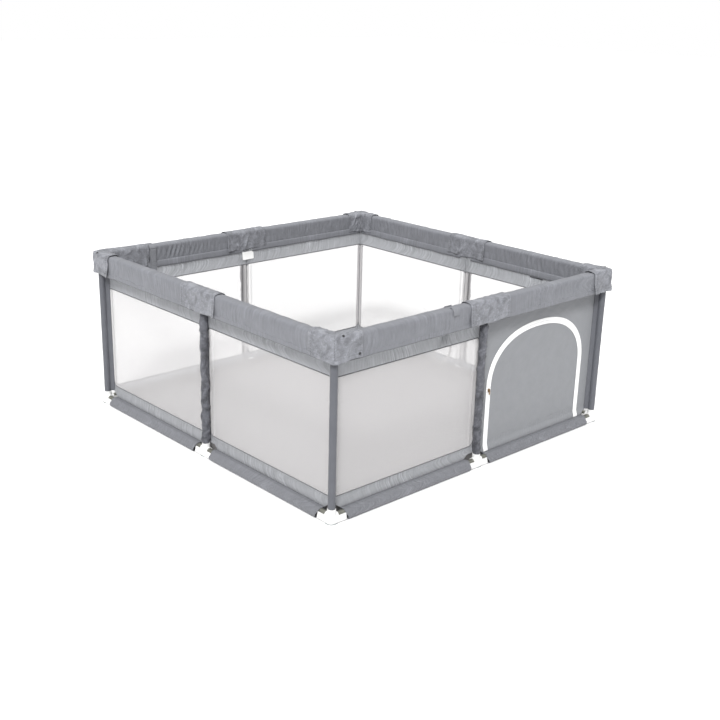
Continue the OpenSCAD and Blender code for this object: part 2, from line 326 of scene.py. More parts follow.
def moulded(name, colour, roughness=0.4, grain=0.08, coat=0.0, contrast=0.03, transmission=0.0):
    """Injection-moulded plastic or rubber: spark-eroded grain and faint flow marks."""
    material, tree, shader = new_material(name)
    place = tree.nodes.new("ShaderNodeTexCoord").outputs["Object"]
    flow = noise(tree, place, 14.0, 3.0)
    grit = noise(tree, place, 1800.0, 2.0)
    shade = tone(tree, flow, scaled(colour, 1 - contrast), scaled(colour, 1 + contrast))
    fill(shader, {"Base Color": shade, "Roughness": scale_add(flow, 0.16, roughness - 0.08),
                  "Coat Weight": coat, "Transmission Weight": transmission})
    bump(tree, shader, grit, grain, 0.1 * MM)
    return material


def metal(name, colour, roughness=0.35):
    """Brushed or plated metal with fine drawn lines and slight tarnish."""
    material, tree, shader = new_material(name)
    place = tree.nodes.new("ShaderNodeTexCoord").outputs["Object"]
    drawn = noise(tree, stretched(tree, place, (1.0, 1.0, 30.0)), 240.0, 2.0)
    tarnish = noise(tree, place, 60.0, 4.0)
    shade = tone(tree, tarnish, scaled(colour, 0.82), scaled(colour, 1.1))
    fill(shader, {"Base Color": shade, "Roughness": scale_add(drawn, 0.2, roughness - 0.1), "Metallic": 1.0})
    return material


# Cloths given fold settings below carry painted shade and painted highlights of folds in their colour.
RAIL_CLOTH = woven("rail_cloth", (0.176, 0.181, 0.199), roughness=0.55, sheen=0.10, painted_streak=1.1)
LOOSE_CLOTH = woven("loose_cloth", (0.186, 0.191, 0.210), roughness=0.5, sheen=0.10, painted_streak=0.4, painted_crumple=1.2)
SLEEVE_CLOTH = woven("sleeve_cloth", (0.075, 0.077, 0.088), roughness=0.45, sheen=0.08, painted_crumple=2.0)
POST_CLOTH = woven("post_cloth", (0.100, 0.104, 0.118), roughness=0.45, sheen=0.08)
BASE_CLOTH = woven("base_cloth", (0.152, 0.156, 0.170), roughness=0.5, sheen=0.08, painted_streak=1.4)
BAND_CLOTH = woven("band_cloth", (0.430, 0.440, 0.462), roughness=0.5, sheen=0.08, translucent=0.48,
                   painted_streak=1.6)
GATE_CLOTH = woven("gate_cloth", (0.226, 0.232, 0.245), roughness=0.55, sheen=0.08, contrast=0.05)
FLOOR_CLOTH = woven("floor_cloth", (0.205, 0.197, 0.199), thread=1.6 * MM, roughness=0.8, contrast=0.05)
PIPING_CLOTH = woven("piping_cloth", (0.150, 0.152, 0.160), roughness=0.7)
TAPE_CLOTH = woven("tape_cloth", (0.84, 0.84, 0.84), thread=0.7 * MM, roughness=0.75, contrast=0.03)
LABEL_CLOTH = woven("label_cloth", (0.88, 0.88, 0.87), thread=0.6 * MM, roughness=0.5, contrast=0.02)
NET_CLOTH = netting("net_cloth", (0.66, 0.648, 0.652))
NET_HEM = netting("net_hem", (0.66, 0.65, 0.65), cell=1.2 * MM, thin=0.66, thick=0.92)
STRAP_WEB = webbing("strap_web", (0.215, 0.221, 0.240))
THREAD = moulded("thread", (0.10, 0.102, 0.11), roughness=0.6, grain=0.3)
FOOT_PLASTIC = moulded("foot_plastic", (0.70, 0.70, 0.695), roughness=0.38)
RING_PLASTIC = moulded("ring_plastic", (0.46, 0.45, 0.44), roughness=0.22, grain=0.02, coat=0.5)
JOINT_PLASTIC = moulded("joint_plastic", (0.075, 0.075, 0.08), roughness=0.5)
CUP_RUBBER = moulded("cup_rubber", (0.66, 0.72, 0.72), roughness=0.25, transmission=0.55)
STUD_PLASTIC = moulded("stud_plastic", (0.02, 0.02, 0.022), roughness=0.35)
TUBE_STEEL = metal("tube_steel", (0.27, 0.27, 0.24), roughness=0.55)
ZIP_METAL = metal("zip_metal", (0.33, 0.22, 0.12), roughness=0.4)


# ---- mesh building ----

def add_piece(name, points, faces, material, uv, body):
    mesh = bpy.data.meshes.new(name)
    mesh.from_pydata(points.tolist(), [], faces.tolist())
    mesh.polygons.foreach_set("use_smooth", [True] * len(mesh.polygons))
    layer = mesh.uv_layers.new(name="cloth")
    layer.data.foreach_set("uv", uv.ravel())
    mesh.materials.append(material)
    mesh.update()
    piece = bpy.data.objects.new(name, mesh)
    bpy.context.scene.collection.objects.link(piece)
    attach(piece, body)
    return piece


def grid_faces(n, m, ring):
    """Quads of an n by m grid of points, closed round its second direction for a ring."""
    rows = np.arange(n - 1)
    cols = np.arange(m if ring else m - 1)
    r, c = np.meshgrid(rows, cols, indexing="ij")
    nxt = (c + 1) % m
    faces = np.stack([r * m + c, (r + 1) * m + c, (r + 1) * m + nxt, r * m + nxt], -1).reshape(-1, 4)
    return faces, r.ravel(), c.ravel()


def run_lengths(points, axis):
    step = np.linalg.norm(np.diff(points, axis=axis), axis=-1)
    total = np.cumsum(step, axis=axis)
    zero = np.zeros_like(np.take(total, [0], axis=axis))
    return np.concatenate([zero, total], axis=axis)


def joined(name, parts, material, matrix=None, body=BODY, flip=False):
    """One piece from several grids, each (points, ring), with its own cloth coordinates in metres."""
    points, faces, uvs, start = [], [], [], 0
    for grid, ring in parts:
        n, m, _ = grid.shape
        f, r, c = grid_faces(n, m, ring)
        closed = np.concatenate([grid, grid[:, :1]], axis=1) if ring else grid
        u, v = run_lengths(closed, 0), run_lengths(closed, 1)
        rows, cols = np.stack([r, r + 1, r + 1, r], -1), np.stack([c, c, c + 1, c + 1], -1)
        uv = np.stack([u[rows, cols], v[rows, cols]], -1)
        uvs.append(uv[:, ::-1] if flip else uv)
        faces.append((f[:, ::-1] if flip else f) + start)
        points.append(grid.reshape(-1, 3))
        start += n * m
    flat = np.concatenate(points)
    if matrix is not None:
        flat = placed(flat, matrix)
    uvs = np.concatenate(uvs).reshape(-1, 2)
    return add_piece(name, flat, np.concatenate(faces), material, uvs, body)


def cloth_piece(name, points, material, matrix=None, ring=False, body=BODY, flip=False):
    """A sheet or sleeve of cloth from one grid of points."""
    return joined(name, [(points, ring)], material, matrix, body, flip)


def add_solidify(piece, thickness):
    made = piece.modifiers.new("thickness", "SOLIDIFY")
    made.thickness = thickness
    made.offset = 0.0


def points_at(line, run, at):
    """Points of a line at the distances `at`, where run says how far along it each point lies."""
    return np.stack([np.interp(at, run, line[:, k]) for k in range(line.shape[1])], -1)


def frames_along(path, up):
    tangent = np.gradient(path, axis=0)
    tangent /= np.linalg.norm(tangent, axis=1, keepdims=True)
    side = np.cross(tangent, up)
    side /= np.linalg.norm(side, axis=1, keepdims=True)
    return side, np.cross(side, tangent)


def tube_points(path, radius, up, sides=8):
    side, other = frames_along(path, np.array(up, float))
    turn = np.arange(sides) * math.tau / sides
    ring = np.cos(turn)[None, :, None] * side[:, None] + np.sin(turn)[None, :, None] * other[:, None]
    return path[:, None] + radius * ring


SHARES = np.array([0, 0.12, 0.5, 0.88, 1])
TAPER = np.array([0.15, 0.8, 1, 0.8, 0.15])


def stitches(path, normal, length=3.2 * MM, gap=1.6 * MM, radius=0.45 * MM):
    """Short raised stitches along a path, as a list of closed little tubes for joined()."""
    run = run_lengths(path, 0)
    turn = np.arange(5) * math.tau / 5
    parts = []
    for start in np.arange(0, run[-1] - length, length + gap):
        line = points_at(path, run, start + length * SHARES)
        side, other = frames_along(line, np.array(normal, float))
        ring = np.cos(turn)[None, :, None] * side[:, None] + np.sin(turn)[None, :, None] * other[:, None]
        parts.append((line[:, None] + (radius * TAPER)[:, None, None] * ring, True))
    return parts


# ---- wrinkles ----

def pleats(u, v, rng, wave, depth, slant=0.15):
    """Gathers that run across u: a few waves of close lengths, each leaning a little."""
    height = np.zeros_like(u)
    for _ in range(5):
        length = wave * rng.uniform(0.6, 1.7)
        lean = rng.normal(0, slant)
        phase = rng.uniform(0, math.tau)
        height += np.sin(math.tau * (u + lean * v) / length + phase) * rng.uniform(0.5, 1.0)
    return depth * height / 2.2


def patches(u, rng, size, low=0.2):
    """A slow curve along u from low to 1, so that gathers come and go."""
    height = np.zeros_like(u)
    for _ in range(3):
        length = size * rng.uniform(0.7, 1.8)
        height += np.sin(math.tau * u / length + rng.uniform(0, math.tau))
    return low + (1 - low) * unit(0.5 + height / 3)


def creases(u, v, rng, count, u_range, v_range, angle, spread, width, length, depth):
    """Single folds: soft ridges and valleys at about one angle."""
    height = np.zeros_like(u)
    for _ in range(count):
        cu, cv = rng.uniform(min(u_range), max(u_range)), rng.uniform(min(v_range), max(v_range))
        turn = rng.normal(angle, spread)
        w, l = width * rng.uniform(0.6, 1.5), length * rng.uniform(0.5, 1.5)
        d = depth * rng.uniform(0.4, 1.0) * rng.choice([-1, 1])
        along = (u - cu) * math.cos(turn) + (v - cv) * math.sin(turn)
        across = (v - cv) * math.cos(turn) - (u - cu) * math.sin(turn)
        across = across + along ** 2 * rng.uniform(-2, 2)
        height += d * np.exp(-(across / w) ** 2) * np.exp(-(along / l) ** 2)
    return height


SETTLE_FRAMES = 12
WEIGHT, STIFFNESS, SHEAR = 0.2, 40, 15


def settle(piece, rest, held, cap, bending, pressure=0.0, gravity=0.0, keep=None):
    """Cloth simulation: the cloth was cut to `rest`, is held at some points, and buckles to fit.
    No point moves further than cap, and keep, if given, puts the result back clear of the rail."""
    mesh = piece.data
    count = len(mesh.vertices)
    start = np.zeros(count * 3)
    mesh.vertices.foreach_get("co", start)
    piece.shape_key_add(name="Basis")
    cut = piece.shape_key_add(name="cut")
    cut.data.foreach_set("co", rest.ravel())
    group = piece.vertex_groups.new(name="held")
    group.add([int(k) for k in np.flatnonzero(held)], 1.0, "REPLACE")
    modifier = piece.modifiers.new("cloth", "CLOTH")
    cloth = modifier.settings
    cloth.quality = 8
    cloth.mass = WEIGHT
    cloth.tension_stiffness = cloth.compression_stiffness = STIFFNESS
    cloth.shear_stiffness = SHEAR
    cloth.bending_stiffness = bending
    cloth.vertex_group_mass = "held"
    cloth.rest_shape_key = cut
    cloth.use_pressure = pressure > 0
    cloth.uniform_pressure_force = pressure
    cloth.effector_weights.gravity = gravity
    modifier.collision_settings.use_collision = False
    modifier.point_cache.frame_start, modifier.point_cache.frame_end = 1, SETTLE_FRAMES
    scene = bpy.context.scene
    for k in range(1, SETTLE_FRAMES + 1):
        scene.frame_set(k)
    after = piece.evaluated_get(bpy.context.evaluated_depsgraph_get())
    moved = np.zeros(count * 3)
    after.data.vertices.foreach_get("co", moved)
    piece.modifiers.remove(modifier)
    piece.shape_key_clear()
    piece.vertex_groups.remove(group)
    scene.frame_set(1)
    shift = (moved - start).reshape(-1, 3)
    size = np.linalg.norm(shift, axis=1, keepdims=True)
    shift *= np.tanh(size / cap) * cap / np.maximum(size, 1e-9)
    settled = start.reshape(-1, 3) + shift
    if keep is not None:
        settled = keep(settled)
    mesh.vertices.foreach_set("co", settled.ravel())
    mesh.update()


# ---- camera, light and floor ----

def add_camera():
    """Stands off the front-left corner and looks down into the pen."""
    azimuth, elevation, roll = math.radians(43.09), math.radians(18.75), math.radians(1.52)
    data = bpy.data.cameras.new("camera")
    data.sensor_width, data.lens = 36.0, 53.8
    camera = bpy.data.objects.new("camera", data)
    bpy.context.scene.collection.objects.link(camera)
    ahead = Vector((math.sin(azimuth) * math.cos(elevation), math.cos(azimuth) * math.cos(elevation),
                    -math.sin(elevation)))
    across = ahead.cross(Vector((0, 0, 1))).normalized()
    upward = across.cross(ahead)
    x = across * math.cos(roll) + upward * math.sin(roll)
    y = upward * math.cos(roll) - across * math.sin(roll)
    camera.matrix_world = Matrix((x, y, -ahead)).transposed().to_4x4()
    camera.location = (-2.8511, -3.1168, 1.6612)
    bpy.context.scene.camera = camera


def add_sun(direction, spread, power):
    """A large soft light far off in one direction; spread is its width in degrees."""
    data = bpy.data.lights.new("key", "SUN")
    data.angle, data.energy = math.radians(spread), power
    lamp = bpy.data.objects.new("key", data)
    lamp.rotation_mode = "QUATERNION"
    lamp.rotation_quaternion = (-Vector(direction)).to_track_quat("-Z", "Y")
    bpy.context.scene.collection.objects.link(lamp)


def add_sky(horizon, rise):
    """Studio light from all round: dim at the horizon, brightest overhead. The backdrop is white."""
    world = bpy.data.worlds.new("studio")
    world.use_nodes = True
    tree = world.node_tree
    sky = tree.nodes["Background"]
    split = tree.nodes.new("ShaderNodeSeparateXYZ")
    fill(split, {0: tree.nodes.new("ShaderNodeTexCoord").outputs["Generated"]})
    height = math_node("MAXIMUM", split.outputs[2], 0.0)
    backdrop = tree.nodes.new("ShaderNodeBackground")
    fill(sky, {0: (1, 1, 1, 1), 1: scale_add(height, rise, horizon)})
    fill(backdrop, {0: (1, 1, 1, 1)})
    mix = tree.nodes.new("ShaderNodeMixShader")
    seen = tree.nodes.new("ShaderNodeLightPath").outputs["Is Camera Ray"]
    fill(mix, {0: seen, 1: sky.outputs[0], 2: backdrop.outputs[0]})
    fill(tree.nodes["World Output"], {"Surface": mix.outputs[0]})
    bpy.context.scene.world = world


def add_stage():
    scene = bpy.context.scene
    scene.view_settings.view_transform = "Standard"
    add_sky(horizon=0.14, rise=1.38)
    add_sun((-0.80, -0.62, 0.95), spread=14, power=3.0)

    material, tree, shader = new_material("studio_floor")
    place = tree.nodes.new("ShaderNodeTexCoord").outputs["Object"]
    grain = noise(tree, place, 3.0, 2.0)
    fill(shader, {"Base Color": tone(tree, grain, (0.84, 0.84, 0.84), (0.86, 0.86, 0.86)), "Roughness": 0.9,
                  "Specular IOR Level": 0.1})
    mesh = bpy.data.meshes.new("studio_floor")
    reach = 30.0
    corners = [(-reach, -reach, 0), (reach, -reach, 0), (reach, reach, 0), (-reach, reach, 0)]
    mesh.from_pydata(corners, [], [(0, 1, 2, 3)])
    mesh.materials.append(material)
    floor = bpy.data.objects.new("studio_floor", mesh)
    scene.collection.objects.link(floor)


# ---- padded rails ----

SHOULDER = 12 * MM
COVER_COLUMNS, COVER_ROUND = 190, 44


def rounded_section(half_t, half_h, radius, count):
    """Points round a rounded rectangle in (y, z), from the middle of its inner face."""
    flat_t, flat_h = half_t - radius, half_h - radius
    arc = math.pi / 2 * radius
    total = 4 * (flat_t + flat_h + arc)
    at = np.arange(count) * total / count
    out = np.zeros((count, 2))
    pieces = [((half_t, 0), (0, 1), flat_h), ("arc", 0),
              ((flat_t, half_h), (-1, 0), 2 * flat_t), ("arc", 1),
              ((-half_t, flat_h), (0, -1), 2 * flat_h), ("arc", 2),
              ((-flat_t, -half_h), (1, 0), 2 * flat_t), ("arc", 3),
              ((half_t, -flat_h), (0, 1), flat_h)]
    centres = [(flat_t, flat_h), (-flat_t, flat_h), (-flat_t, -flat_h), (flat_t, -flat_h)]
    start = 0.0
    for piece in pieces:
        if piece[0] == "arc":
            length = arc
            turn = (at - start) / radius + piece[1] * math.pi / 2
            centre = centres[piece[1]]
            spot = np.stack([centre[0] + radius * np.cos(turn), centre[1] + radius * np.sin(turn)], -1)
        else:
            length = piece[2]
            spot = np.array(piece[0]) + (at - start)[:, None] * np.array(piece[1])
        inside = (at >= start) & (at < start + length)
        out[inside] = spot[inside]
        start += length
    return out


def rail_cover(i, half, zones, seed):
    """One padded half of a rail: half is +1 or -1; zones are (centre, width, slack) along it."""
    rng = np.random.default_rng(seed)
    inset = 1.8 * MM
    x = np.linspace(COVER_END, half_len(i) - COVER_END, COVER_COLUMNS)
    section = rounded_section(COVER_HALF - inset, (COVER_TOP - COVER_LOW) / 2 - inset, 10 * MM, COVER_ROUND)
    n, m = len(x), len(section)
    points = grid_of(half * x[:, None], section[None, :, 0], RAIL_Z + section[None, :, 1])
    slack = np.full(n, 0.010)
    for centre, width, amount in zones:
        slack += amount * np.exp(-((x - centre) / width) ** 2)
    gx, gz = points[..., 0], points[..., 2]
    on_side = np.clip((np.abs(section[:, 0]) - 12 * MM) / (8 * MM), 0.25, 1)[None]
    up = section[:, 1] / (COVER_TOP - COVER_LOW) * 2
    hang = (0.55 + 0.45 * np.cos(math.pi * (up - 0.1)))[None]
    depth = 75 * MM * slack[:, None] * patches(x, rng, 90 * MM, 0.35)[:, None]
    lift = pleats(gx, gz, rng, 17 * MM, 1.0, 0.22) * depth * on_side * hang
    lift += pleats(gx, gz, rng, 75 * MM, 0.5 * MM, 0.8)
    around = np.broadcast_to(np.arctan2(section[:, 1], section[:, 0])[None] * 30 * MM, (n, m))
    lift += creases(gx, around, rng, 26, (half * x[0], half * x[-1]), (-95 * MM, 95 * MM), 1.2, 0.5,
                    4 * MM, 30 * MM, 1.9 * MM)
    centre_out = section / np.linalg.norm(section, axis=1, keepdims=True)
    square = np.sign(centre_out) * np.abs(centre_out) ** 0.35
    points[..., 1] += lift * square[None, :, 0] * on_side
    points[..., 2] += np.clip(lift, -1 * MM, 1.2 * MM) * centre_out[None, :, 1]
    matrix = side_frame(i)
    name = f"rail_cover_{SIDES[i]}_{'far' if half > 0 else 'near'}"
    piece = cloth_piece(name, points, RAIL_CLOTH, matrix, ring=True, flip=half > 0)
    grown = np.concatenate([[0], np.cumsum((1 + (slack[1:] + slack[:-1]) / 2) * np.diff(x))])
    rest = points.copy()
    rest[..., 0] = half * (x[0] + grown - (grown[-1] - (x[-1] - x[0])) / 2)[:, None]
    held = np.zeros((n, m), bool)
    held[0] = held[-1] = True
    settle(piece, placed(rest.reshape(-1, 3), matrix), held.ravel(), cap=2.6 * MM, bending=0.1, pressure=0.5)
    return piece


def cover_hems(i):
    """The covers' sewn lower edges hang free below the padding: a little outside, more inside."""
    flaps, bindings = [], []
    for half in (1, -1):
        x = half * np.linspace(COVER_END + 2 * MM, half_len(i) - COVER_END, 150)
        for side, drop, shift in ((-1, 6 * MM, 0), (1, 16 * MM, 2.6 * MM)):
            fall = np.linspace(0, 1, 6)[None]
            wave = (np.sin(x / (19 * MM)) + 0.6 * np.sin(x / (7.3 * MM) + 1))[:, None] * fall * 0.6 * MM
            y = side * (COVER_HALF - 1.6 * MM) + shift * np.minimum(1, 2 * fall) + wave
            sway = 0.5 * MM * np.sin(x / (31 * MM))[:, None] * fall
            z = COVER_LOW + SHOULDER - (SHOULDER + drop) * fall + sway
            grid = np.stack([np.broadcast_to(x[:, None], z.shape), y, z], -1)
            around = np.concatenate([grid, grid[:, ::-1] + np.array([0, 0.9 * MM, 0])], axis=1)
            flaps.append((around, True))
            edge = grid[:, -1] + np.array([0, 0.45 * MM, 0])
            bindings.append((tube_points(edge, 1.0 * MM, (0, 0, 1), 7), True))
    joined(f"cover_hems_{SIDES[i]}", flaps, RAIL_CLOTH, side_frame(i))
    joined(f"cover_binding_{SIDES[i]}", bindings, PIPING_CLOTH, side_frame(i))


def rail_covers():
    reach = HALF_X
    near, far = 0.14, reach - 0.16
    plans = {
        (0, 1): [(0.30, 0.10, 0.030), (0.50, 0.12, 0.045)],
        (0, -1): [(far, 0.10, 0.012), (near, 0.06, 0.012)],
        (1, 1): [(far - 0.05, 0.20, 0.02)],
        (1, -1): [(0.40, 0.20, 0.045)],
        (2, 1): [(0.36, 0.14, 0.050)],
        (2, -1): [(0.30, 0.25, 0.010)],
        (3, 1): [(near + 0.05, 0.06, 0.015)],
        (3, -1): [(0.25, 0.12, 0.030), (far, 0.08, 0.02)],
    }
    for count, ((i, half), zones) in enumerate(plans.items()):
        rail_cover(i, half, zones, 11 + count)
    for i, side in enumerate(SIDES):
        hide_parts(f"rail_covers_{side}")
        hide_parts(f"rail_covers_{side}")
        cover_hems(i)
    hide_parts("rail_foam")


# ---- hoods and cuffs ----

SADDLE_ROUND = 13 * MM
SADDLE_POINTS = 46
OPEN_STAND = 11 * MM
CROWN_HELD = 9 * MM
HEM_THICKNESS = 1.0 * MM


def saddle_section(half, top, hem):
    """Points over a rail in (y, z), from the outer hem over the top to the inner hem."""
    radius, count = SADDLE_ROUND, SADDLE_POINTS
    rise, arc, flat = top - radius - hem, math.pi / 2 * radius, 2 * (half - radius)
    at = np.linspace(0, 2 * rise + 2 * arc + flat, count)
    y = np.zeros(count)
    z = np.zeros(count)
    up = at <= rise
    y[up], z[up] = -half, hem + at[up]
    left = (at > rise) & (at <= rise + arc)
    turn = (at[left] - rise) / radius
    y[left], z[left] = -(half - radius) - radius * np.cos(turn), top - radius + radius * np.sin(turn)
    level = (at > rise + arc) & (at <= rise + arc + flat)
    y[level], z[level] = -(half - radius) + at[level] - rise - arc, top
    right = (at > rise + arc + flat) & (at <= rise + 2 * arc + flat)
    turn = (at[right] - rise - arc - flat) / radius
    y[right], z[right] = half - radius + radius * np.sin(turn), top - radius + radius * np.cos(turn)
    down = at > rise + 2 * arc + flat
    y[down], z[down] = half, top - radius - (at[down] - rise - 2 * arc - flat)
    return y, z, at


def outside_rail(spare, matrix):
    """Keeps cloth over a straight rail clear of its padding: returns a keep() for settle()."""
    def keep(points):
        local = placed(points, np.linalg.inv(np.array(matrix)))
        side = np.where(local[:, 1] < 0, -1.0, 1.0)
        low = local[:, 2] < COVER_TOP - SHOULDER
        least = COVER_HALF + spare
        local[:, 1] = np.where(low, side * np.maximum(np.abs(local[:, 1]), least), local[:, 1])
        local[:, 2] = np.where(~low & (np.abs(local[:, 1]) < COVER_HALF - SHOULDER),
                               np.maximum(local[:, 2], COVER_TOP + spare), local[:, 2])
        return placed(local, matrix)

    return keep


def hem_flare(z, hem, top, amount):
    """How far a loose cover stands off at height z: most at its hem, none near its top."""
    drop = unit((top - 20 * MM - z) / (top - 20 * MM - hem))
    return amount * drop ** 1.5


STITCH_RING = np.array([(1, 0, 0), (0.3, 0.9, 0.3), (-0.8, 0.3, 0.5), (-0.8, -0.5, -0.3),
                        (0.3, -0.7, -0.6)])[None]


def hem_stitches(name, piece, shape, rows, seams=()):
    """Rows of stitches along a loose cover's hems, and across it at each seam column."""
    n, m = shape
    mesh = piece.data
    spots, normals = np.zeros(n * m * 3), np.zeros(n * m * 3)
    mesh.vertices.foreach_get("co", spots)
    mesh.vertices.foreach_get("normal", normals)
    spots, normals = spots.reshape(n, m, 3), normals.reshape(n, m, 3)
    outer = spots + 0.75 * MM * normals
    inner = spots - 0.75 * MM * normals
    centre = spots.mean(axis=(0, 1))
    shift = np.linalg.norm(outer - centre, axis=-1).mean() > np.linalg.norm(inner - centre, axis=-1).mean()
    surface = outer if shift else inner
    parts = []
    for row in rows:
        parts += stitches(surface[:, row], (0, 0, 1))
    for seam in seams:
        line = surface[seam]
        run = run_lengths(line, 0)
        for start in np.arange(4 * MM, run[-1] - 8 * MM, 9 * MM):
            path = points_at(line, run, start + 5.5 * MM * SHARES)
            parts.append((path[:, None] + (0.9 * MM * TAPER)[:, None, None] * STITCH_RING, True))
    joined(name, parts, THREAD)


def finish_loose(piece, cut, held, matrix, keep, stitching, rows, seams):
    """Lets a cuff or hood hang, then gives it its hems' stitches and its thickness."""
    settle(piece, placed(cut.reshape(-1, 3), matrix), held.ravel(), cap=2.2 * MM, bending=0.08, gravity=1.0,
           keep=keep)
    hem_stitches(stitching, piece, cut.shape[:2], rows, seams)
    add_solidify(piece, HEM_THICKNESS)


def mid_cuff(i, open_end, seed):
    """The loose cuff over a mid joint. open_end is the end, +1 or -1 along x, that stands open."""
    rng = np.random.default_rng(seed)
    hem = HOOD_HEM - 3 * MM
    y, z, run = saddle_section(COVER_HALF + 2.2 * MM, COVER_TOP + 2.4 * MM, hem)
    x = np.linspace(-CUFF_HALF, CUFF_HALF, 70)
    gx, gy = np.meshgrid(x, y, indexing="ij")
    _, gz = np.meshgrid(x, z, indexing="ij")
    _, gr = np.meshgrid(x, run, indexing="ij")
    towards = open_end * gx / CUFF_HALF
    flare = hem_flare(gz, hem, CUFF_TOP, 1.0)
    ends_open = unit((towards - 0.35) / 0.65) ** 2
    out = 0.9 * MM + OPEN_STAND * ends_open * flare
    fall = unit(1 - np.abs(towards + 0.1))
    out += pleats(gx, gr, rng, 30 * MM, 1.6 * MM, 0.6) * (0.4 + 0.6 * flare) * (0.4 + fall)
    out += creases(gx, gr, rng, 34, (-CUFF_HALF, CUFF_HALF * 0.7), (0, run[-1]), 1.0, 0.45,
                   4.0 * MM, 34 * MM, 3.8 * MM)
    out = np.maximum(out, -0.4 * MM)
    tight = unit((-towards - 0.7) / 0.3)
    out = out * (1 - tight) - 0.3 * MM * tight
    sign = np.where(gy < 0, -1, 1)
    points = np.stack([gx, gy + sign * out * unit(np.abs(gy) / SHELL_HALF), gz], -1)
    points[..., 2] += 0.6 * np.clip(out, -0.4 * MM, 4 * MM) * (gz > COVER_TOP - 8 * MM)
    points[..., 0] += open_end * 5 * MM * unit(towards) * flare - open_end * 4 * MM * tight * flare
    points[..., 2] -= (4 * MM * unit(1 - np.abs(towards)) + 1.5 * MM * np.sin(gx / (16 * MM))) * flare
    matrix = side_frame(i)
    piece = cloth_piece(f"cuff_{SIDES[i]}", points, LOOSE_CLOTH, matrix)
    cut = points.copy()
    cut[..., 0] *= 1.05
    cut[..., 2] = RAIL_Z + (cut[..., 2] - RAIL_Z) * 1.03
    held = (np.abs(gy) < CROWN_HELD) | (np.abs(towards + 1) < 0.02)
    finish_loose(piece, cut, held, matrix, outside_rail(1.3 * MM, matrix), f"cuff_stitching_{SIDES[i]}",
                 (4, 41), (3, 66))
    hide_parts(f"mid_cuff_{SIDES[i]}")


def corner_path(v, length_a, length_b, columns):
    """The line at distance v from the rails' axes, from arm B's end round the corner to arm A's."""
    soft = 20 * MM if v < 0 else 9 * MM
    soft = soft + (0.3 * (SHELL_HALF - abs(v)))
    bend = v + soft
    count_b, count_c, count_a = columns
    arm_b = np.stack([np.full(count_b, v), np.linspace(length_b, bend, count_b)], -1)
    t = np.linspace(0, 1, count_c + 2)[1:-1, None]
    start, control, end = np.array([v, bend]), np.array([v, v]), np.array([bend, v])
    corner = (1 - t) ** 2 * start + 2 * t * (1 - t) * control + t ** 2 * end
    arm_a = np.stack([np.linspace(bend, length_a, count_a), np.full(count_a, v)], -1)
    return np.concatenate([arm_b, corner, arm_a])


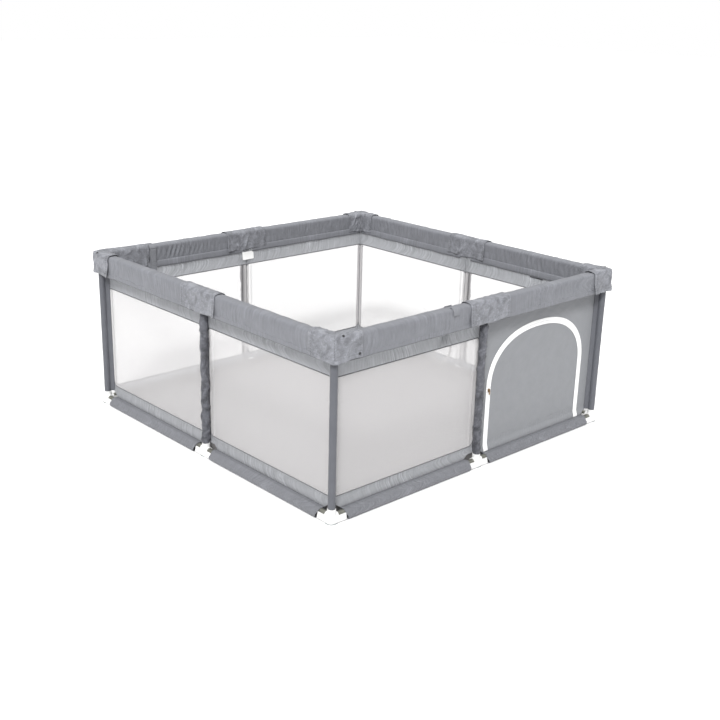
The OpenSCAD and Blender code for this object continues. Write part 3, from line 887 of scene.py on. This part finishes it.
def corner_hood(i, open_a, open_b, seed):
    """The hood over a corner. open_a and open_b say how far each arm's end stands open, 0 to 1."""
    rng = np.random.default_rng(seed)
    length_b = LONG_ARM if CORNERS[i] == "back_left" else HOOD_ARM
    columns = (28 if length_b == HOOD_ARM else 56, 14, 28)
    hem = HOOD_HEM - 5 * MM
    y, z, run = saddle_section(COVER_HALF + 2.6 * MM, COVER_TOP + 3.4 * MM, hem)
    flat = np.stack([corner_path(v, HOOD_ARM, length_b, columns) for v in y], axis=1)
    total = sum(columns)
    tangent = np.gradient(flat, axis=0)
    tangent /= np.linalg.norm(tangent, axis=-1, keepdims=True)
    outward = np.stack([-tangent[..., 1], tangent[..., 0]], -1)
    outward = np.where((y[None, :, None] < 0), -outward, outward)
    middle_run = run_lengths(flat[:, 23], 0)
    s = np.broadcast_to(middle_run[:, None] - middle_run[total // 2], (total, len(y)))
    gz = np.broadcast_to(z[None], (total, len(y))).copy()
    gr = np.broadcast_to(run[None], (total, len(y)))
    flare = hem_flare(gz, hem, HOOD_TOP, 1.0)
    end_a = unit((s - s.max() + 50 * MM) / (50 * MM))
    end_b = unit((s.min() + 50 * MM - s) / (50 * MM))
    near_corner = np.exp(-(s / (42 * MM)) ** 2)
    out = 0.8 * MM + 1.5 * MM * flare + 4 * MM * flare * near_corner * (y[None] < 0)
    out = out + pleats(s, gr, rng, 34 * MM, 1.8 * MM, 0.7) * (0.35 + 0.65 * flare)
    out = out + creases(s, gr, rng, 40, (s.min(), s.max()), (0, run[-1]), 1.1, 0.6,
                        4.4 * MM, 34 * MM, 4.2 * MM)
    gathers = pleats(s, gr, rng, 9 * MM, 1.8 * MM, 0.5) * np.exp(-(s / (30 * MM)) ** 2) * (y[None] > 0)
    out = np.maximum(out + gathers, -0.5 * MM)
    flat_a, flat_b = (1 - open_a) * end_a ** 2, (1 - open_b) * end_b ** 2
    out = out * (1 - flat_a - flat_b) + OPEN_STAND * flare * (open_a * end_a ** 2 + open_b * end_b ** 2)
    reach = unit(np.abs(y) / SHELL_HALF)[None]
    points = np.zeros((total, len(y), 3))
    points[..., :2] = flat + outward * (out * reach)[..., None]
    crown = 3.0 * MM * near_corner + 1.4 * MM * pleats(s, gr, rng, 26 * MM, 1.0, 0.5)
    points[..., 2] = gz + crown * (1 - flare) * (gz > COVER_TOP - 8 * MM) - 3 * MM * flare * near_corner
    points[..., 2] -= 1.5 * MM * np.sin(s / (14 * MM)) * flare
    matrix = corner_frame(i)
    piece = cloth_piece(f"hood_{CORNERS[i]}", points, LOOSE_CLOTH, matrix)
    centre = np.array([SHELL_HALF, SHELL_HALF, RAIL_Z])
    cut = centre + (points - centre) * np.array([1.045, 1.045, 1.03])
    held = np.broadcast_to((np.abs(y) < CROWN_HELD)[None], (total, len(y)))
    finish_loose(piece, cut, held, matrix, outside_hood(1.0 * MM, matrix), f"hood_stitching_{CORNERS[i]}",
                 (3, 5, 42), (4, columns[0] + columns[1] // 2, total - 4))
    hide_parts(f"corner_hood_{CORNERS[i]}")
    mesh = piece.data
    for k, (column, row) in enumerate(((columns[0] + 19, 17), (total - 5, 3))):
        spot = mesh.vertices[column * len(y) + row]
        face = Vector((spot.co.x, spot.co.y, 0)) - (matrix @ Vector((HOOD_ARM, HOOD_ARM, 0))).xy.to_3d()
        normal = spot.normal if spot.normal.dot(face) > 0 else -spot.normal
        stud(f"hood_stud_{CORNERS[i]}_{k}", spot.co + 0.4 * MM * normal, normal)


def outside_hood(spare, matrix):
    """Keeps a corner hood clear of the two covers that run into the corner."""
    def keep(points):
        local = placed(points, np.linalg.inv(np.array(matrix)))
        low = local[:, 2] < COVER_TOP - SHOULDER
        least = COVER_HALF + spare
        for across, along in ((1, 0), (0, 1)):
            off = np.abs(local[:, across])
            arm = low & (local[:, along] > COVER_HALF + 10 * MM) & (off < SHELL_HALF + 14 * MM)
            side = np.where(local[:, across] < 0, -1.0, 1.0)
            local[:, across] = np.where(arm, side * np.maximum(off, least), local[:, across])
        high = local[:, 2] > COVER_TOP - 3 * MM
        local[:, 2] = np.where(high, np.maximum(local[:, 2], COVER_TOP + spare), local[:, 2])
        return placed(local, matrix)

    return keep


# ---- posts, bottom rails and floor ----

def post_sleeve(name, matrix, web, seed, loose):
    """A sleeve round a post with its sewn web: web is (direction in radians, length)."""
    rng = np.random.default_rng(seed)
    low, high = FOOT_TOP + 1.5 * MM, COVER_LOW + 8 * MM
    z = np.linspace(low, high, 130)
    radius = TUBE_R + 1.9 * MM
    turn, reach = web
    half_web = 0.8 * MM
    mouth = math.asin(2.2 * half_web / radius)
    around = np.linspace(mouth, math.tau - mouth, 26)
    circle = np.stack([radius * np.cos(around), radius * np.sin(around)], -1)
    steps = np.linspace(reach, radius + 1 * MM, 7)
    upper = np.stack([steps, np.full(7, half_web)], -1)
    lower = np.stack([steps[::-1], np.full(7, -half_web)], -1)
    section = np.concatenate([upper, circle, lower])
    n, m = len(z), len(section)
    points = grid_of(section[None, :, 0], section[None, :, 1], z[:, None])
    angle = np.arctan2(section[:, 1], section[:, 0])
    ga = np.broadcast_to((angle * radius)[None], (n, m))
    gz = points[..., 2]
    is_web = np.broadcast_to((np.hypot(section[:, 0], section[:, 1]) > radius + 0.5 * MM)[None], (n, m))
    wave = pleats(gz, ga, rng, 34 * MM, 1.0, 0.8) * 0.5
    fold = creases(gz, ga, rng, int(80 * loose) + 4, (low, high), (-40 * MM, 40 * MM), 0.6, 0.45,
                   4.2 * MM, 28 * MM, 4.6 * MM * loose)
    radial = section / np.linalg.norm(section, axis=1, keepdims=True)
    out = loose * (1.5 * MM + 1.6 * MM * wave) + fold
    out = np.where(is_web, 0, np.clip(out, -1.2 * MM, 6.5 * MM))
    slump = loose * 1.5 * MM * np.sin(gz / (21 * MM) + 1.3 * np.sin(gz / (47 * MM)))
    points[..., 0] += np.where(is_web, 0, slump)
    points[..., :2] += out[..., None] * radial[None]
    spread = np.hypot(points[..., 0], points[..., 1])
    points[..., :2] *= np.maximum(1, (TUBE_R + 1.0 * MM) / spread)[..., None]
    depth = unit((np.hypot(section[:, 0], section[:, 1]) - radius) / (reach - radius))
    sway = np.sin(math.pi * depth)[None] * (pleats(gz, gz * 0, rng, 60 * MM, 1.0) * (0.6 + 1.6 * loose) * MM)
    points[..., 1] += np.where(is_web, sway, 0)
    spin = np.array(Matrix.Rotation(turn, 4, "Z"))
    points = placed(points, spin)
    cloth = SLEEVE_CLOTH if loose > 0.5 else POST_CLOTH
    return cloth_piece(name, points, cloth, matrix, ring=True, flip=True)


def post_sleeves():
    corner_web, side_web = (math.pi / 4, WALL_Y * math.sqrt(2)), (math.pi / 2, WALL_Y)
    pieces = [post_sleeve(f"post_sleeve_{corner}", corner_frame(i), corner_web, 31 + i, 0.12)
              for i, corner in enumerate(CORNERS)]
    for i, side in enumerate(SIDES):
        pieces.append(post_sleeve(f"post_sleeve_{side}", side_frame(i), side_web, 41 + i, 1.0))
    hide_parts("post_sleeves")


def sleeve_section(count):
    """The bottom sleeve's outline in (y, z), from the wall outward, round the rail and back up."""
    control = np.array([(15, 33), (10, 34), (0, 34.6), (-9, 30.5), (-24, 13), (-25, 6), (-21, 1.6), (-6, 1.6),
                        (11, 1.6), (16, 8), (15.5, 24), (15, 32.5)]) * MM
    run = run_lengths(control, 0)
    at = np.linspace(0, run[-1], count)
    return points_at(control, run, at), at


def bottom_sleeve(i, half, seed):
    rng = np.random.default_rng(seed)
    section, run = sleeve_section(52)
    near, far = 46 * MM, half_len(i) - 50 * MM
    s = np.linspace(0, 1, 190)
    slant = 8 * MM * unit((36 * MM - section[:, 1]) / (36 * MM))
    x = near + slant[None] + s[:, None] * (far - near - 2 * slant[None])
    n, m = x.shape
    points = grid_of(half * x, section[None, :, 0], section[None, :, 1])
    along = np.gradient(section, axis=0)
    normal = np.stack([along[:, 1], -along[:, 0]], -1)
    normal /= np.linalg.norm(normal, axis=1, keepdims=True)
    outside = unit(1.3 - np.abs(run - 36 * MM) / (20 * MM))[None]
    mask = patches(points[..., 0], rng, 150 * MM, 0.3)
    lift = pleats(points[..., 0], points[..., 2], rng, 11 * MM, 2.0 * MM, 0.25) * outside * mask
    lift += creases(points[..., 0], np.broadcast_to(run[None], (n, m)), rng, 60,
                    (half * near, half * far), (0, 62 * MM), 1.4, 0.35, 2.6 * MM, 16 * MM, 2.2 * MM) * outside
    lift += 1.2 * MM * np.exp(-((run - 45 * MM) / (2.5 * MM)) ** 2)[None]
    points[..., 1:] += lift[..., None] * normal[None]
    from_rail = points[..., 1:] - np.array([0, LOW_RAIL_Z])
    spread = np.linalg.norm(from_rail, axis=-1, keepdims=True)
    points[..., 1:] += from_rail * np.maximum(0, (TUBE_R + 1.2 * MM) / spread - 1)
    points[..., 2] = np.maximum(points[..., 2], 1.2 * MM)
    name = f"bottom_sleeve_{SIDES[i]}_{'far' if half > 0 else 'near'}"
    return cloth_piece(name, points, BASE_CLOTH, side_frame(i), flip=half < 0)


def bottom_sleeves():
    pieces = [bottom_sleeve(i, half, 60 + 2 * i + (half > 0)) for i in range(4) for half in (1, -1)]
    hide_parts("bottom_sleeves")


def floor_sheet():
    """The floor sheet inside the pen, with faint ripples and its edge drawn up inside the walls."""
    rng = np.random.default_rng(80)
    inset, climb, turn_up = 23.5 * MM, 44 * MM, 14 * MM
    near = np.array([0, 1.5, 3, 5, 7, 9.5, 12, 15, 19]) * MM
    lines = []
    for edge in (HALF_X - inset, HALF_Y - inset):
        inner = np.linspace(-edge + 26 * MM, edge - 26 * MM, 130)
        lines.append(np.concatenate([-edge + near, inner, edge - near[::-1]]))
    gx, gy = np.meshgrid(lines[0], lines[1], indexing="ij")
    edge_x, edge_y = lines[0][-1], lines[1][-1]
    ripple = pleats(gx, gy, rng, 0.30, 0.5 * MM, 0.9) + pleats(gy, gx, rng, 0.26, 0.5 * MM, 0.9)
    ripple += creases(gx, gy, rng, 40, (-edge_x, edge_x), (-edge_y, edge_y), 0.6, 1.2, 14 * MM, 0.2, 1.6 * MM)
    from_edge = np.minimum(edge_x - np.abs(gx), edge_y - np.abs(gy))
    gz = 2.0 * MM + np.clip(ripple, -0.8 * MM, 4 * MM) * unit(from_edge / 0.08)
    gz = gz + (climb - 2 * MM) * unit(1 - from_edge / turn_up) ** 1.6
    piece = cloth_piece("floor_cloth", np.stack([gx, gy, gz], -1), FLOOR_CLOTH)
    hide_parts("floor_sheet")


# ---- walls ----

TOP_FILLET = 8 * MM
LOW_FILLET = 21 * MM
WINDOW_EDGE = 1.5 * MM
WALL_FOOT = 33.5 * MM
BAND_TOP = COVER_LOW + 14 * MM


def rail_tuck(z):
    """How far a wall is drawn outward under the padded rail, so that its top stays hidden."""
    return 9 * MM * smooth((z - COVER_LOW + 3 * MM) / (16 * MM))


def foot_lean(z):
    """How far a wall is drawn outward just above the bottom sleeve."""
    return 7 * MM * smooth((64 * MM - z) / (30 * MM))


def windows(i):
    """The net windows' (start, end) along side i."""
    end = half_len(i) - WALL_Y
    spans = [(-end + WINDOW_EDGE, -WINDOW_EDGE)]
    if i > 0:
        spans.append((WINDOW_EDGE, end - WINDOW_EDGE))
    return spans


def window_drop(x, spans, fillet):
    """How far a window's rounded corner eats into it at each x."""
    drop = np.full_like(x, fillet)
    for start, end in spans:
        inside = (x >= start) & (x <= end)
        d = np.minimum(x - start, end - x)
        curve = fillet - np.sqrt(np.maximum(fillet ** 2 - np.maximum(fillet - d, 0) ** 2, 0))
        drop = np.where(inside, curve, drop)
    return drop


def wall_columns(i, stop):
    end = half_len(i) - WALL_Y
    x = [np.linspace(-end, stop, int((stop + end) / (2.8 * MM)))]
    for start, finish in windows(i):
        x.append(start + LOW_FILLET * (1 - np.cos(np.linspace(0, math.pi / 2, 16))))
        x.append(finish - LOW_FILLET * (1 - np.cos(np.linspace(0, math.pi / 2, 16))))
    merged = np.sort(np.concatenate(x))
    return merged[np.concatenate([[True], np.diff(merged) > 0.25 * MM])]


def wall_pleats(gx, gz, rng, depth):
    mask = patches(gx, rng, 0.22, 0.1)
    return pleats(gx, gz, rng, 9 * MM, depth, 0.06) * mask


def upper_band(i):
    rng = np.random.default_rng(100 + i)
    end = half_len(i) - WALL_Y
    stop = 0.0 if i == 0 else end
    x = wall_columns(i, stop)
    edge = NET_HIGH - window_drop(x, windows(i), TOP_FILLET)
    t = np.linspace(0, 1, 16)
    gz = edge[:, None] + t[None] * (BAND_TOP - edge[:, None])
    gx = np.broadcast_to(x[:, None], gz.shape)
    lift = wall_pleats(gx, gz, rng, 1.7 * MM) * np.sin(math.pi * np.clip(t, 0, 0.85))[None] ** 0.7
    points = np.stack([gx, WALL_Y + lift - rail_tuck(gz), gz], -1)
    piece = cloth_piece(f"upper_band_{SIDES[i]}", points, BAND_CLOTH, side_frame(i), flip=True)
    return piece


def lower_band(i, start=None, cloth=BAND_CLOTH, name=None, spans=None, top=NET_LOW):
    """The band from the windows' lower edge, or from top, down to the bottom sleeve."""
    rng = np.random.default_rng(120 + i + (7 if start is not None else 0))
    end = half_len(i) - WALL_Y
    stop = 0.0 if (i == 0 and start is None) else end
    x = wall_columns(i, stop) if start is None else np.linspace(start, end, 240)
    spans = windows(i) if spans is None else spans
    rise = window_drop(x, spans, LOW_FILLET)
    to_post = np.minimum(np.abs(x), half_len(i) - np.abs(x))
    foot = WALL_FOOT + 14 * MM * (1 - smooth((to_post - 30 * MM) / (26 * MM)))
    t = np.linspace(0, 1, 20)
    gz = (top + rise)[:, None] + t[None] * (foot - top - rise)[:, None]
    gx = np.broadcast_to(x[:, None], gz.shape)
    at = top - gz
    mask = np.sin(math.pi * unit((at + 6 * MM) / (top - WALL_FOOT + 12 * MM))) ** 0.7
    lift = wall_pleats(gx, at, rng, 1.8 * MM) * mask
    points = np.stack([gx, WALL_Y - foot_lean(gz) - 0.9 * lift, gz - 0.25 * lift], -1)
    piece = cloth_piece(name or f"lower_band_{SIDES[i]}", points, cloth, side_frame(i))
    return piece


def window_line(start, end, low):
    """A window's lower edge with its two rounded corners, or its upper edge, as points (x, z)."""
    fillet = LOW_FILLET if low else TOP_FILLET
    level, side = (NET_LOW, 1) if low else (NET_HIGH, -1)
    turn = np.linspace(0, math.pi / 2, 12)
    first = np.stack([start + fillet * (1 - np.cos(turn)), level + side * fillet * (1 - np.sin(turn))], -1)
    level_x = np.linspace(start + fillet, end - fillet, 60)[1:-1]
    flat = np.stack([level_x, np.full(len(level_x), level)], -1)
    last = np.stack([start + end - first[::-1, 0], first[::-1, 1]], -1)
    return np.concatenate([first, flat, last])


def window_piping(i):
    """Bound edges along the top and bottom of each net window."""
    parts = []
    for start, end in windows(i):
        for low in (True, False):
            line = window_line(start, end, low)
            path = np.stack([line[:, 0], np.full(len(line), WALL_Y), line[:, 1]], -1)
            shape = tube_points(path, 1.0, (0, 1, 0), 8) - path[:, None]
            parts.append((path[:, None] + shape * np.array([2.1, 1.6, 2.1]) * MM, True))
    joined(f"window_piping_{SIDES[i]}", parts, PIPING_CLOTH, side_frame(i))


def net_grid(i, start, end, columns, rows=34):
    """Points of a window's net between start and end along side i."""
    span = [w for w in windows(i) if w[0] <= start + MM and end - MM <= w[1]]
    drop_top = window_drop(columns, span, TOP_FILLET)
    drop_low = window_drop(columns, span, LOW_FILLET)
    low, high = NET_LOW + drop_low, NET_HIGH - drop_top
    t = np.linspace(0, 1, rows)
    gz = low[:, None] + t[None] * (high - low)[:, None]
    gx = np.broadcast_to(columns[:, None], gz.shape)
    middle_x = unit((gx - span[0][0]) / (span[0][1] - span[0][0]))
    belly = np.sin(math.pi * middle_x) * np.sin(math.pi * t)[None]
    return np.stack([gx, WALL_Y + 1.2 * MM * belly, gz], -1)


def net_windows(i):
    pieces, hems = [], []
    hem = 11 * MM
    for k, (start, end) in enumerate(windows(i)):
        ends = LOW_FILLET * (1 - np.cos(np.linspace(0, math.pi / 2, 9)))
        between = np.linspace(start + LOW_FILLET, end - LOW_FILLET, 60)
        columns = np.unique(np.concatenate([start + ends, between, end - ends]))
        name = f"net_{SIDES[i]}_{'near' if k == 0 else 'far'}"
        piece = cloth_piece(name, net_grid(i, start, end, columns), NET_CLOTH, side_frame(i))
        pieces.append(piece)
        for edge in (np.linspace(start, start + hem, 6), np.linspace(end - hem, end, 6)):
            grid = net_grid(i, start, end, edge)
            grid[..., 1] -= 0.6 * MM
            hems.append((grid, False))
    joined(f"net_hems_{SIDES[i]}", hems, NET_HEM, side_frame(i))
    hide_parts(f"net_windows_{SIDES[i]}")


def walls():
    for i, side in enumerate(SIDES):
        piece = upper_band(i)
        lower_band(i)
        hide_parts(f"wall_bands_{side}")
        window_piping(i)
        net_windows(i)


# ---- gate ----

def arch_line(grow, count=121):
    """The arch from its left foot over the top to its right foot, grown outward by grow."""
    t = np.linspace(0, math.pi, count)
    c, s = np.cos(t), np.sin(t)
    x = GATE_X - (GATE_HALF + grow) * np.sign(c) * np.abs(c) ** ARCH_POWER
    z = GATE_SPRING + (FLAP_HIGH - GATE_SPRING + grow) * np.abs(s) ** ARCH_POWER
    return np.stack([x, z], -1)


def arch_path(grow, low, leg=30, top=121):
    """Legs and arch together, as points (x, z) evenly spaced along the line."""
    curve = arch_line(grow, top * 4)
    left = np.stack([np.full(leg, curve[0, 0]), np.linspace(low, GATE_SPRING, leg, endpoint=False)], -1)
    right = np.stack([np.full(leg, curve[-1, 0]), np.linspace(GATE_SPRING, low, leg + 1)[1:]], -1)
    line = np.concatenate([left, curve, right])
    run = run_lengths(line, 0)
    return points_at(line, run, np.linspace(0, run[-1], 2 * leg + top))


def gate_panel():
    """The cloth round the arch: rings of points from the arch's edge out to the panel's border."""
    rng = np.random.default_rng(140)
    end = HALF_X - WALL_Y
    inner = arch_path(0.4 * MM, FLAP_LOW)
    centre = np.array([GATE_X, FLAP_LOW])
    ray = inner - centre
    ray[:, 1] = np.maximum(ray[:, 1], 0)
    length = np.full(len(ray), np.inf)
    for axis, value in ((0, end - centre[0]), (0, -centre[0]), (1, BAND_TOP - FLAP_LOW)):
        with np.errstate(divide="ignore", invalid="ignore"):
            scale = value / ray[:, axis]
        length = np.where((scale > 0) & np.isfinite(scale), np.minimum(length, scale), length)
    outer = centre + ray * length[:, None]
    t = np.linspace(0, 1, 22)
    grid = inner[:, None] + t[None, :, None] * (outer - inner)[:, None]
    gx, gz = grid[..., 0], grid[..., 1]
    lift = pleats(gx, gz, rng, 0.11, 0.9 * MM, 0.8) * np.sin(math.pi * t)[None]
    lift += pleats(gx, gz, rng, 8 * MM, 0.35 * MM, 0.05) * unit((gz - BAND_TOP + 50 * MM) / (40 * MM))
    points = np.stack([gx, WALL_Y + lift - rail_tuck(gz), gz], -1)
    piece = cloth_piece("gate_surround", points, GATE_CLOTH, side_frame(0))
    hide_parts("gate_panel")
    lower_band(0, start=0.0, cloth=GATE_CLOTH, name="gate_sill", spans=[(0.0, end)], top=FLAP_LOW)


def bends_at_sill(piece):
    """Takes the piece off its parent and bakes its place in the world into its mesh."""
    matrix = piece.matrix_world.copy()
    piece.parent = None
    piece.matrix_world = matrix
    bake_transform(piece)


def gate_flap():
    rng = np.random.default_rng(150)
    rows, columns = 70, 90
    line = arch_path(-0.4 * MM, FLAP_LOW)
    left = line[: len(line) // 2 + 1]
    z = FLAP_LOW + (FLAP_HIGH - 0.4 * MM - FLAP_LOW) * (1 - (1 - np.linspace(0, 1, rows)) ** 1.8)
    half = GATE_X - np.interp(z, left[:, 1], left[:, 0])
    half[-1] = 12 * MM
    t = np.linspace(-1, 1, columns)
    gx = GATE_X + half[:, None] * t[None]
    gz = np.broadcast_to(z[:, None], gx.shape)
    edge = np.sqrt(unit(1 - t[None] ** 2)) * unit((FLAP_HIGH - gz) / 0.1) ** 0.5
    lift = pleats(gx, gz, rng, 0.16, 0.9 * MM, 0.7) * edge
    lift += creases(gx, gz, rng, 12, (GATE_X - 0.2, GATE_X + 0.2), (FLAP_LOW, FLAP_HIGH), 0.2, 0.8,
                    16 * MM, 0.1, 0.9 * MM) * edge
    points = np.stack([gx, WALL_Y + lift, gz], -1)
    piece = cloth_piece("gate_door", points, GATE_CLOTH, side_frame(0), body="gate_flap",
                        flip=True)
    bends_at_sill(piece)
    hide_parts("gate_flap")


def ribbon(line_in, line_out, lift, thick):
    """A flat tape on the wall between two lines (x, z), with bevelled edges, as a closed section."""
    across = np.array([0.0, 0.04, 0.5, 0.96, 1.0, 1.0, 0.0])
    front = np.array([0.45, 1.0, 1.0, 1.0, 0.45, 0.0, 0.0]) * thick
    parts = []
    for share, height in zip(across, front):
        spot = line_in + share * (line_out - line_in)
        parts.append(on_wall(spot, lift + height))
    return np.stack(parts, axis=1)


def on_wall(line, lift):
    return np.stack([line[:, 0], WALL_Y - foot_lean(line[:, 1]) - lift, line[:, 1]], -1)


TAPE_LEG = 60
TAPE_LINE = 400
TAPE_LIFT = 1.0 * MM


def zip_tapes():
    """The tape's two halves round the arch, each with its coil and two rows of stitches."""
    for name, side, body in (("zip_tape_outer", 1, BODY), ("zip_tape_inner", -1, "gate_flap")):
        outer = arch_path(side * TAPE_W, FLAP_LOW, TAPE_LEG)
        band = ribbon(arch_path(side * 0.3 * MM, FLAP_LOW, TAPE_LEG), outer, TAPE_LIFT, 1.0 * MM)
        pieces = [joined(name, [(band, True)], TAPE_CLOTH, side_frame(0), body)]
        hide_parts("zip_tape_fixed" if side > 0 else "zip_tape_flap")
        path = on_wall(arch_path(side * 1.0 * MM, FLAP_LOW, TAPE_LEG, TAPE_LINE), TAPE_LIFT + 1.1 * MM)
        coil = tube_points(path, 0.65 * MM, (0, 1, 0), 7)
        beads = 0.8 + 0.2 * np.cos(np.arange(len(path)) * math.pi)
        coil = path[:, None] + (coil - path[:, None]) * beads[:, None, None]
        pieces.append(joined(f"{name}_coil", [(coil, True)], TAPE_CLOTH, side_frame(0), body))
        rows = []
        for inset in (3.0 * MM, 9.5 * MM):
            row = on_wall(arch_path(side * inset, FLAP_LOW, TAPE_LEG, TAPE_LINE), TAPE_LIFT + 1.05 * MM)
            rows += stitches(row, (0, 1, 0), 2.6 * MM, 1.6 * MM, 0.2 * MM)
        pieces.append(joined(f"{name}_stitching", rows, LABEL_CLOTH, side_frame(0), body))
        if side < 0:
            for piece in pieces:
                bends_at_sill(piece)
    legs = []
    z = np.linspace(FLAP_LOW + 1 * MM, WALL_FOOT + 1 * MM, 26)
    for side in (-1, 1):
        grid = [on_wall(np.stack([np.full(26, GATE_X + side * GATE_HALF + w), z], -1), TAPE_LIFT + 0.3 * MM)
                for w in np.array([-12, -11, -6, 0, 6, 11, 12]) * MM]
        legs.append((np.stack(grid, axis=1), False))
    piece = joined("zip_tape_feet", legs, TAPE_CLOTH, side_frame(0))
    add_solidify(piece, 0.9 * MM)


# ---- ring straps, label and studs ----

def ring_strap(i, node_name):
    """Webbing round the rail with the loop that holds a ring, from the CAD strap's own place."""
    ring = middle(f"pull_ring_{node_name}")
    local = np.linalg.inv(np.array(side_frame(i))) @ np.array([*ring, 1.0])
    x, ring_y = local[0], local[1]
    ring_top = high_corner(f"pull_ring_{node_name}").z
    bar_r = (high_corner("pull_ring_front").y - low_corner("pull_ring_front").y) / 2
    axis_z = ring_top - bar_r
    lift = 2.4 * MM
    out, up = COVER_HALF + lift, (COVER_TOP - COVER_LOW) / 2 + lift
    radius = 19 * MM
    outer = np.stack([np.full(8, -out), np.linspace(14 * MM, up - radius, 8)], -1)
    turn = np.linspace(math.pi, math.pi / 2, 8)
    left, right = (np.stack([centre + radius * np.cos(t), up - radius + radius * np.sin(t)], -1)
                   for centre, t in ((radius - out, turn), (out - radius, math.pi - turn)))
    inner = np.stack([np.full(14, out), np.linspace(up - radius, axis_z - RAIL_Z + 6 * MM, 14)], -1)
    loop_r = ring_y - out
    round_turn = np.radians(np.linspace(165, 500, 26))
    loop = np.stack([ring_y + loop_r * np.cos(round_turn), axis_z - RAIL_Z + loop_r * np.sin(round_turn)], -1)
    line = np.concatenate([outer[:-1], left[:-1], right[:-1], inner, loop])
    path_w = np.array([-15, -14.2, -7, 0, 7, 14.2, 15]) * MM
    grid = grid_of(x + path_w[None], line[:, None, 0], RAIL_Z + line[:, None, 1])
    piece = cloth_piece(f"ring_strap_{node_name}", grid, STRAP_WEB, side_frame(i))
    add_solidify(piece, 1.5 * MM)
    rows = []
    for inset in (-12 * MM, 12 * MM):
        path = np.stack([np.full(len(inner), x + inset), inner[:, 0] + 1.0 * MM, RAIL_Z + inner[:, 1]], -1)
        rows += stitches(path, (0, 1, 0))
    for high in (-30 * MM, -46 * MM):
        across = grid_of(np.linspace(x - 12 * MM, x + 12 * MM, 6), out + 1.0 * MM, RAIL_Z + high)
        rows += stitches(across, (0, 1, 0))
    joined(f"ring_strap_stitching_{node_name}", rows, THREAD, side_frame(i))
    return piece


def ring_straps():
    pieces = [ring_strap(i, SIDES[i]) for i in (0, 2)]
    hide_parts("ring_straps")


def care_label():
    """A blank care label sewn to the back wall's inner face."""
    width, high, low, centre = 62 * MM, COVER_LOW - 15 * MM, COVER_LOW - 50 * MM, -6 * MM
    gx, gz = np.meshgrid(np.linspace(-width / 2, width / 2, 14), np.linspace(high, low, 12), indexing="ij")
    curl = 3 * MM * ((high - gz) / (high - low)) ** 2 + 0.8 * MM * np.sin(gx / width * 5)
    points = np.stack([gx + centre, WALL_Y + 2 * MM + curl, gz], -1)
    piece = cloth_piece("care_label", points, LABEL_CLOTH, side_frame(2))


def band_patch():
    """A small dark patch sewn on the right wall's inner face, close under its rail."""
    start, end, low, high = -434 * MM, -365 * MM, COVER_LOW - 23 * MM, COVER_LOW - 10 * MM
    gx, gz = np.meshgrid(np.linspace(start, end, 24), np.linspace(high, low, 6), indexing="ij")
    wave = 0.5 * MM * np.sin(gx / (7 * MM))
    piece = cloth_piece("band_patch", np.stack([gx, WALL_Y + 1.8 * MM + wave, gz], -1), SLEEVE_CLOTH,
                        side_frame(1))
    add_solidify(piece, 0.8 * MM)


STUD_RADIUS = 4.6 * MM


def stud(name, place, normal):
    """A press stud's cap: a low dome with a rolled rim."""
    profile = STUD_RADIUS * np.array([(0.02, 0.62), (0.45, 0.56), (0.78, 0.40), (0.95, 0.30), (1.0, 0.12),
                                 (0.96, 0.0)])
    turn = np.arange(20) * math.tau / 20
    rim, height = profile[:, None, 0], profile[:, None, 1]
    points = grid_of(rim * np.cos(turn)[None], rim * np.sin(turn)[None], height)
    tilt = np.array(Vector((0, 0, 1)).rotation_difference(Vector(normal)).to_matrix())
    points = points @ tilt.T + np.array(place)
    joined(name, [(points, True)], STUD_PLASTIC)


# ---- carried-over pieces ----

def dress_frame_parts():
    looks = {"corner_foot": FOOT_PLASTIC, "mid_foot": FOOT_PLASTIC, "suction_cups": CUP_RUBBER,
             "corner_post": TUBE_STEEL, "mid_post": TUBE_STEEL, "bottom_rails": TUBE_STEEL,
             "top_rails": TUBE_STEEL, "top_joints": JOINT_PLASTIC, "zip_slider": ZIP_METAL,
             "zip_pull": ZIP_METAL, "pull_ring": RING_PLASTIC}
    for name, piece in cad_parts.items():
        for start, material in looks.items():
            if name.startswith(start):
                piece.data.materials.clear()
                piece.data.materials.append(material)


add_camera()
add_stage()
dress_frame_parts()
rail_covers()
for i, open_end in enumerate((-1, -1, 1, 1)):
    mid_cuff(i, open_end, 201 + i)
for i, open_ends in enumerate(((0.2, 0.0), (0.0, 1.0), (0.1, 0.1), (1.0, 0.0))):
    corner_hood(i, *open_ends, 211 + i)
post_sleeves()
bottom_sleeves()
floor_sheet()
walls()
gate_panel()
gate_flap()
zip_tapes()
ring_straps()
care_label()
band_patch()
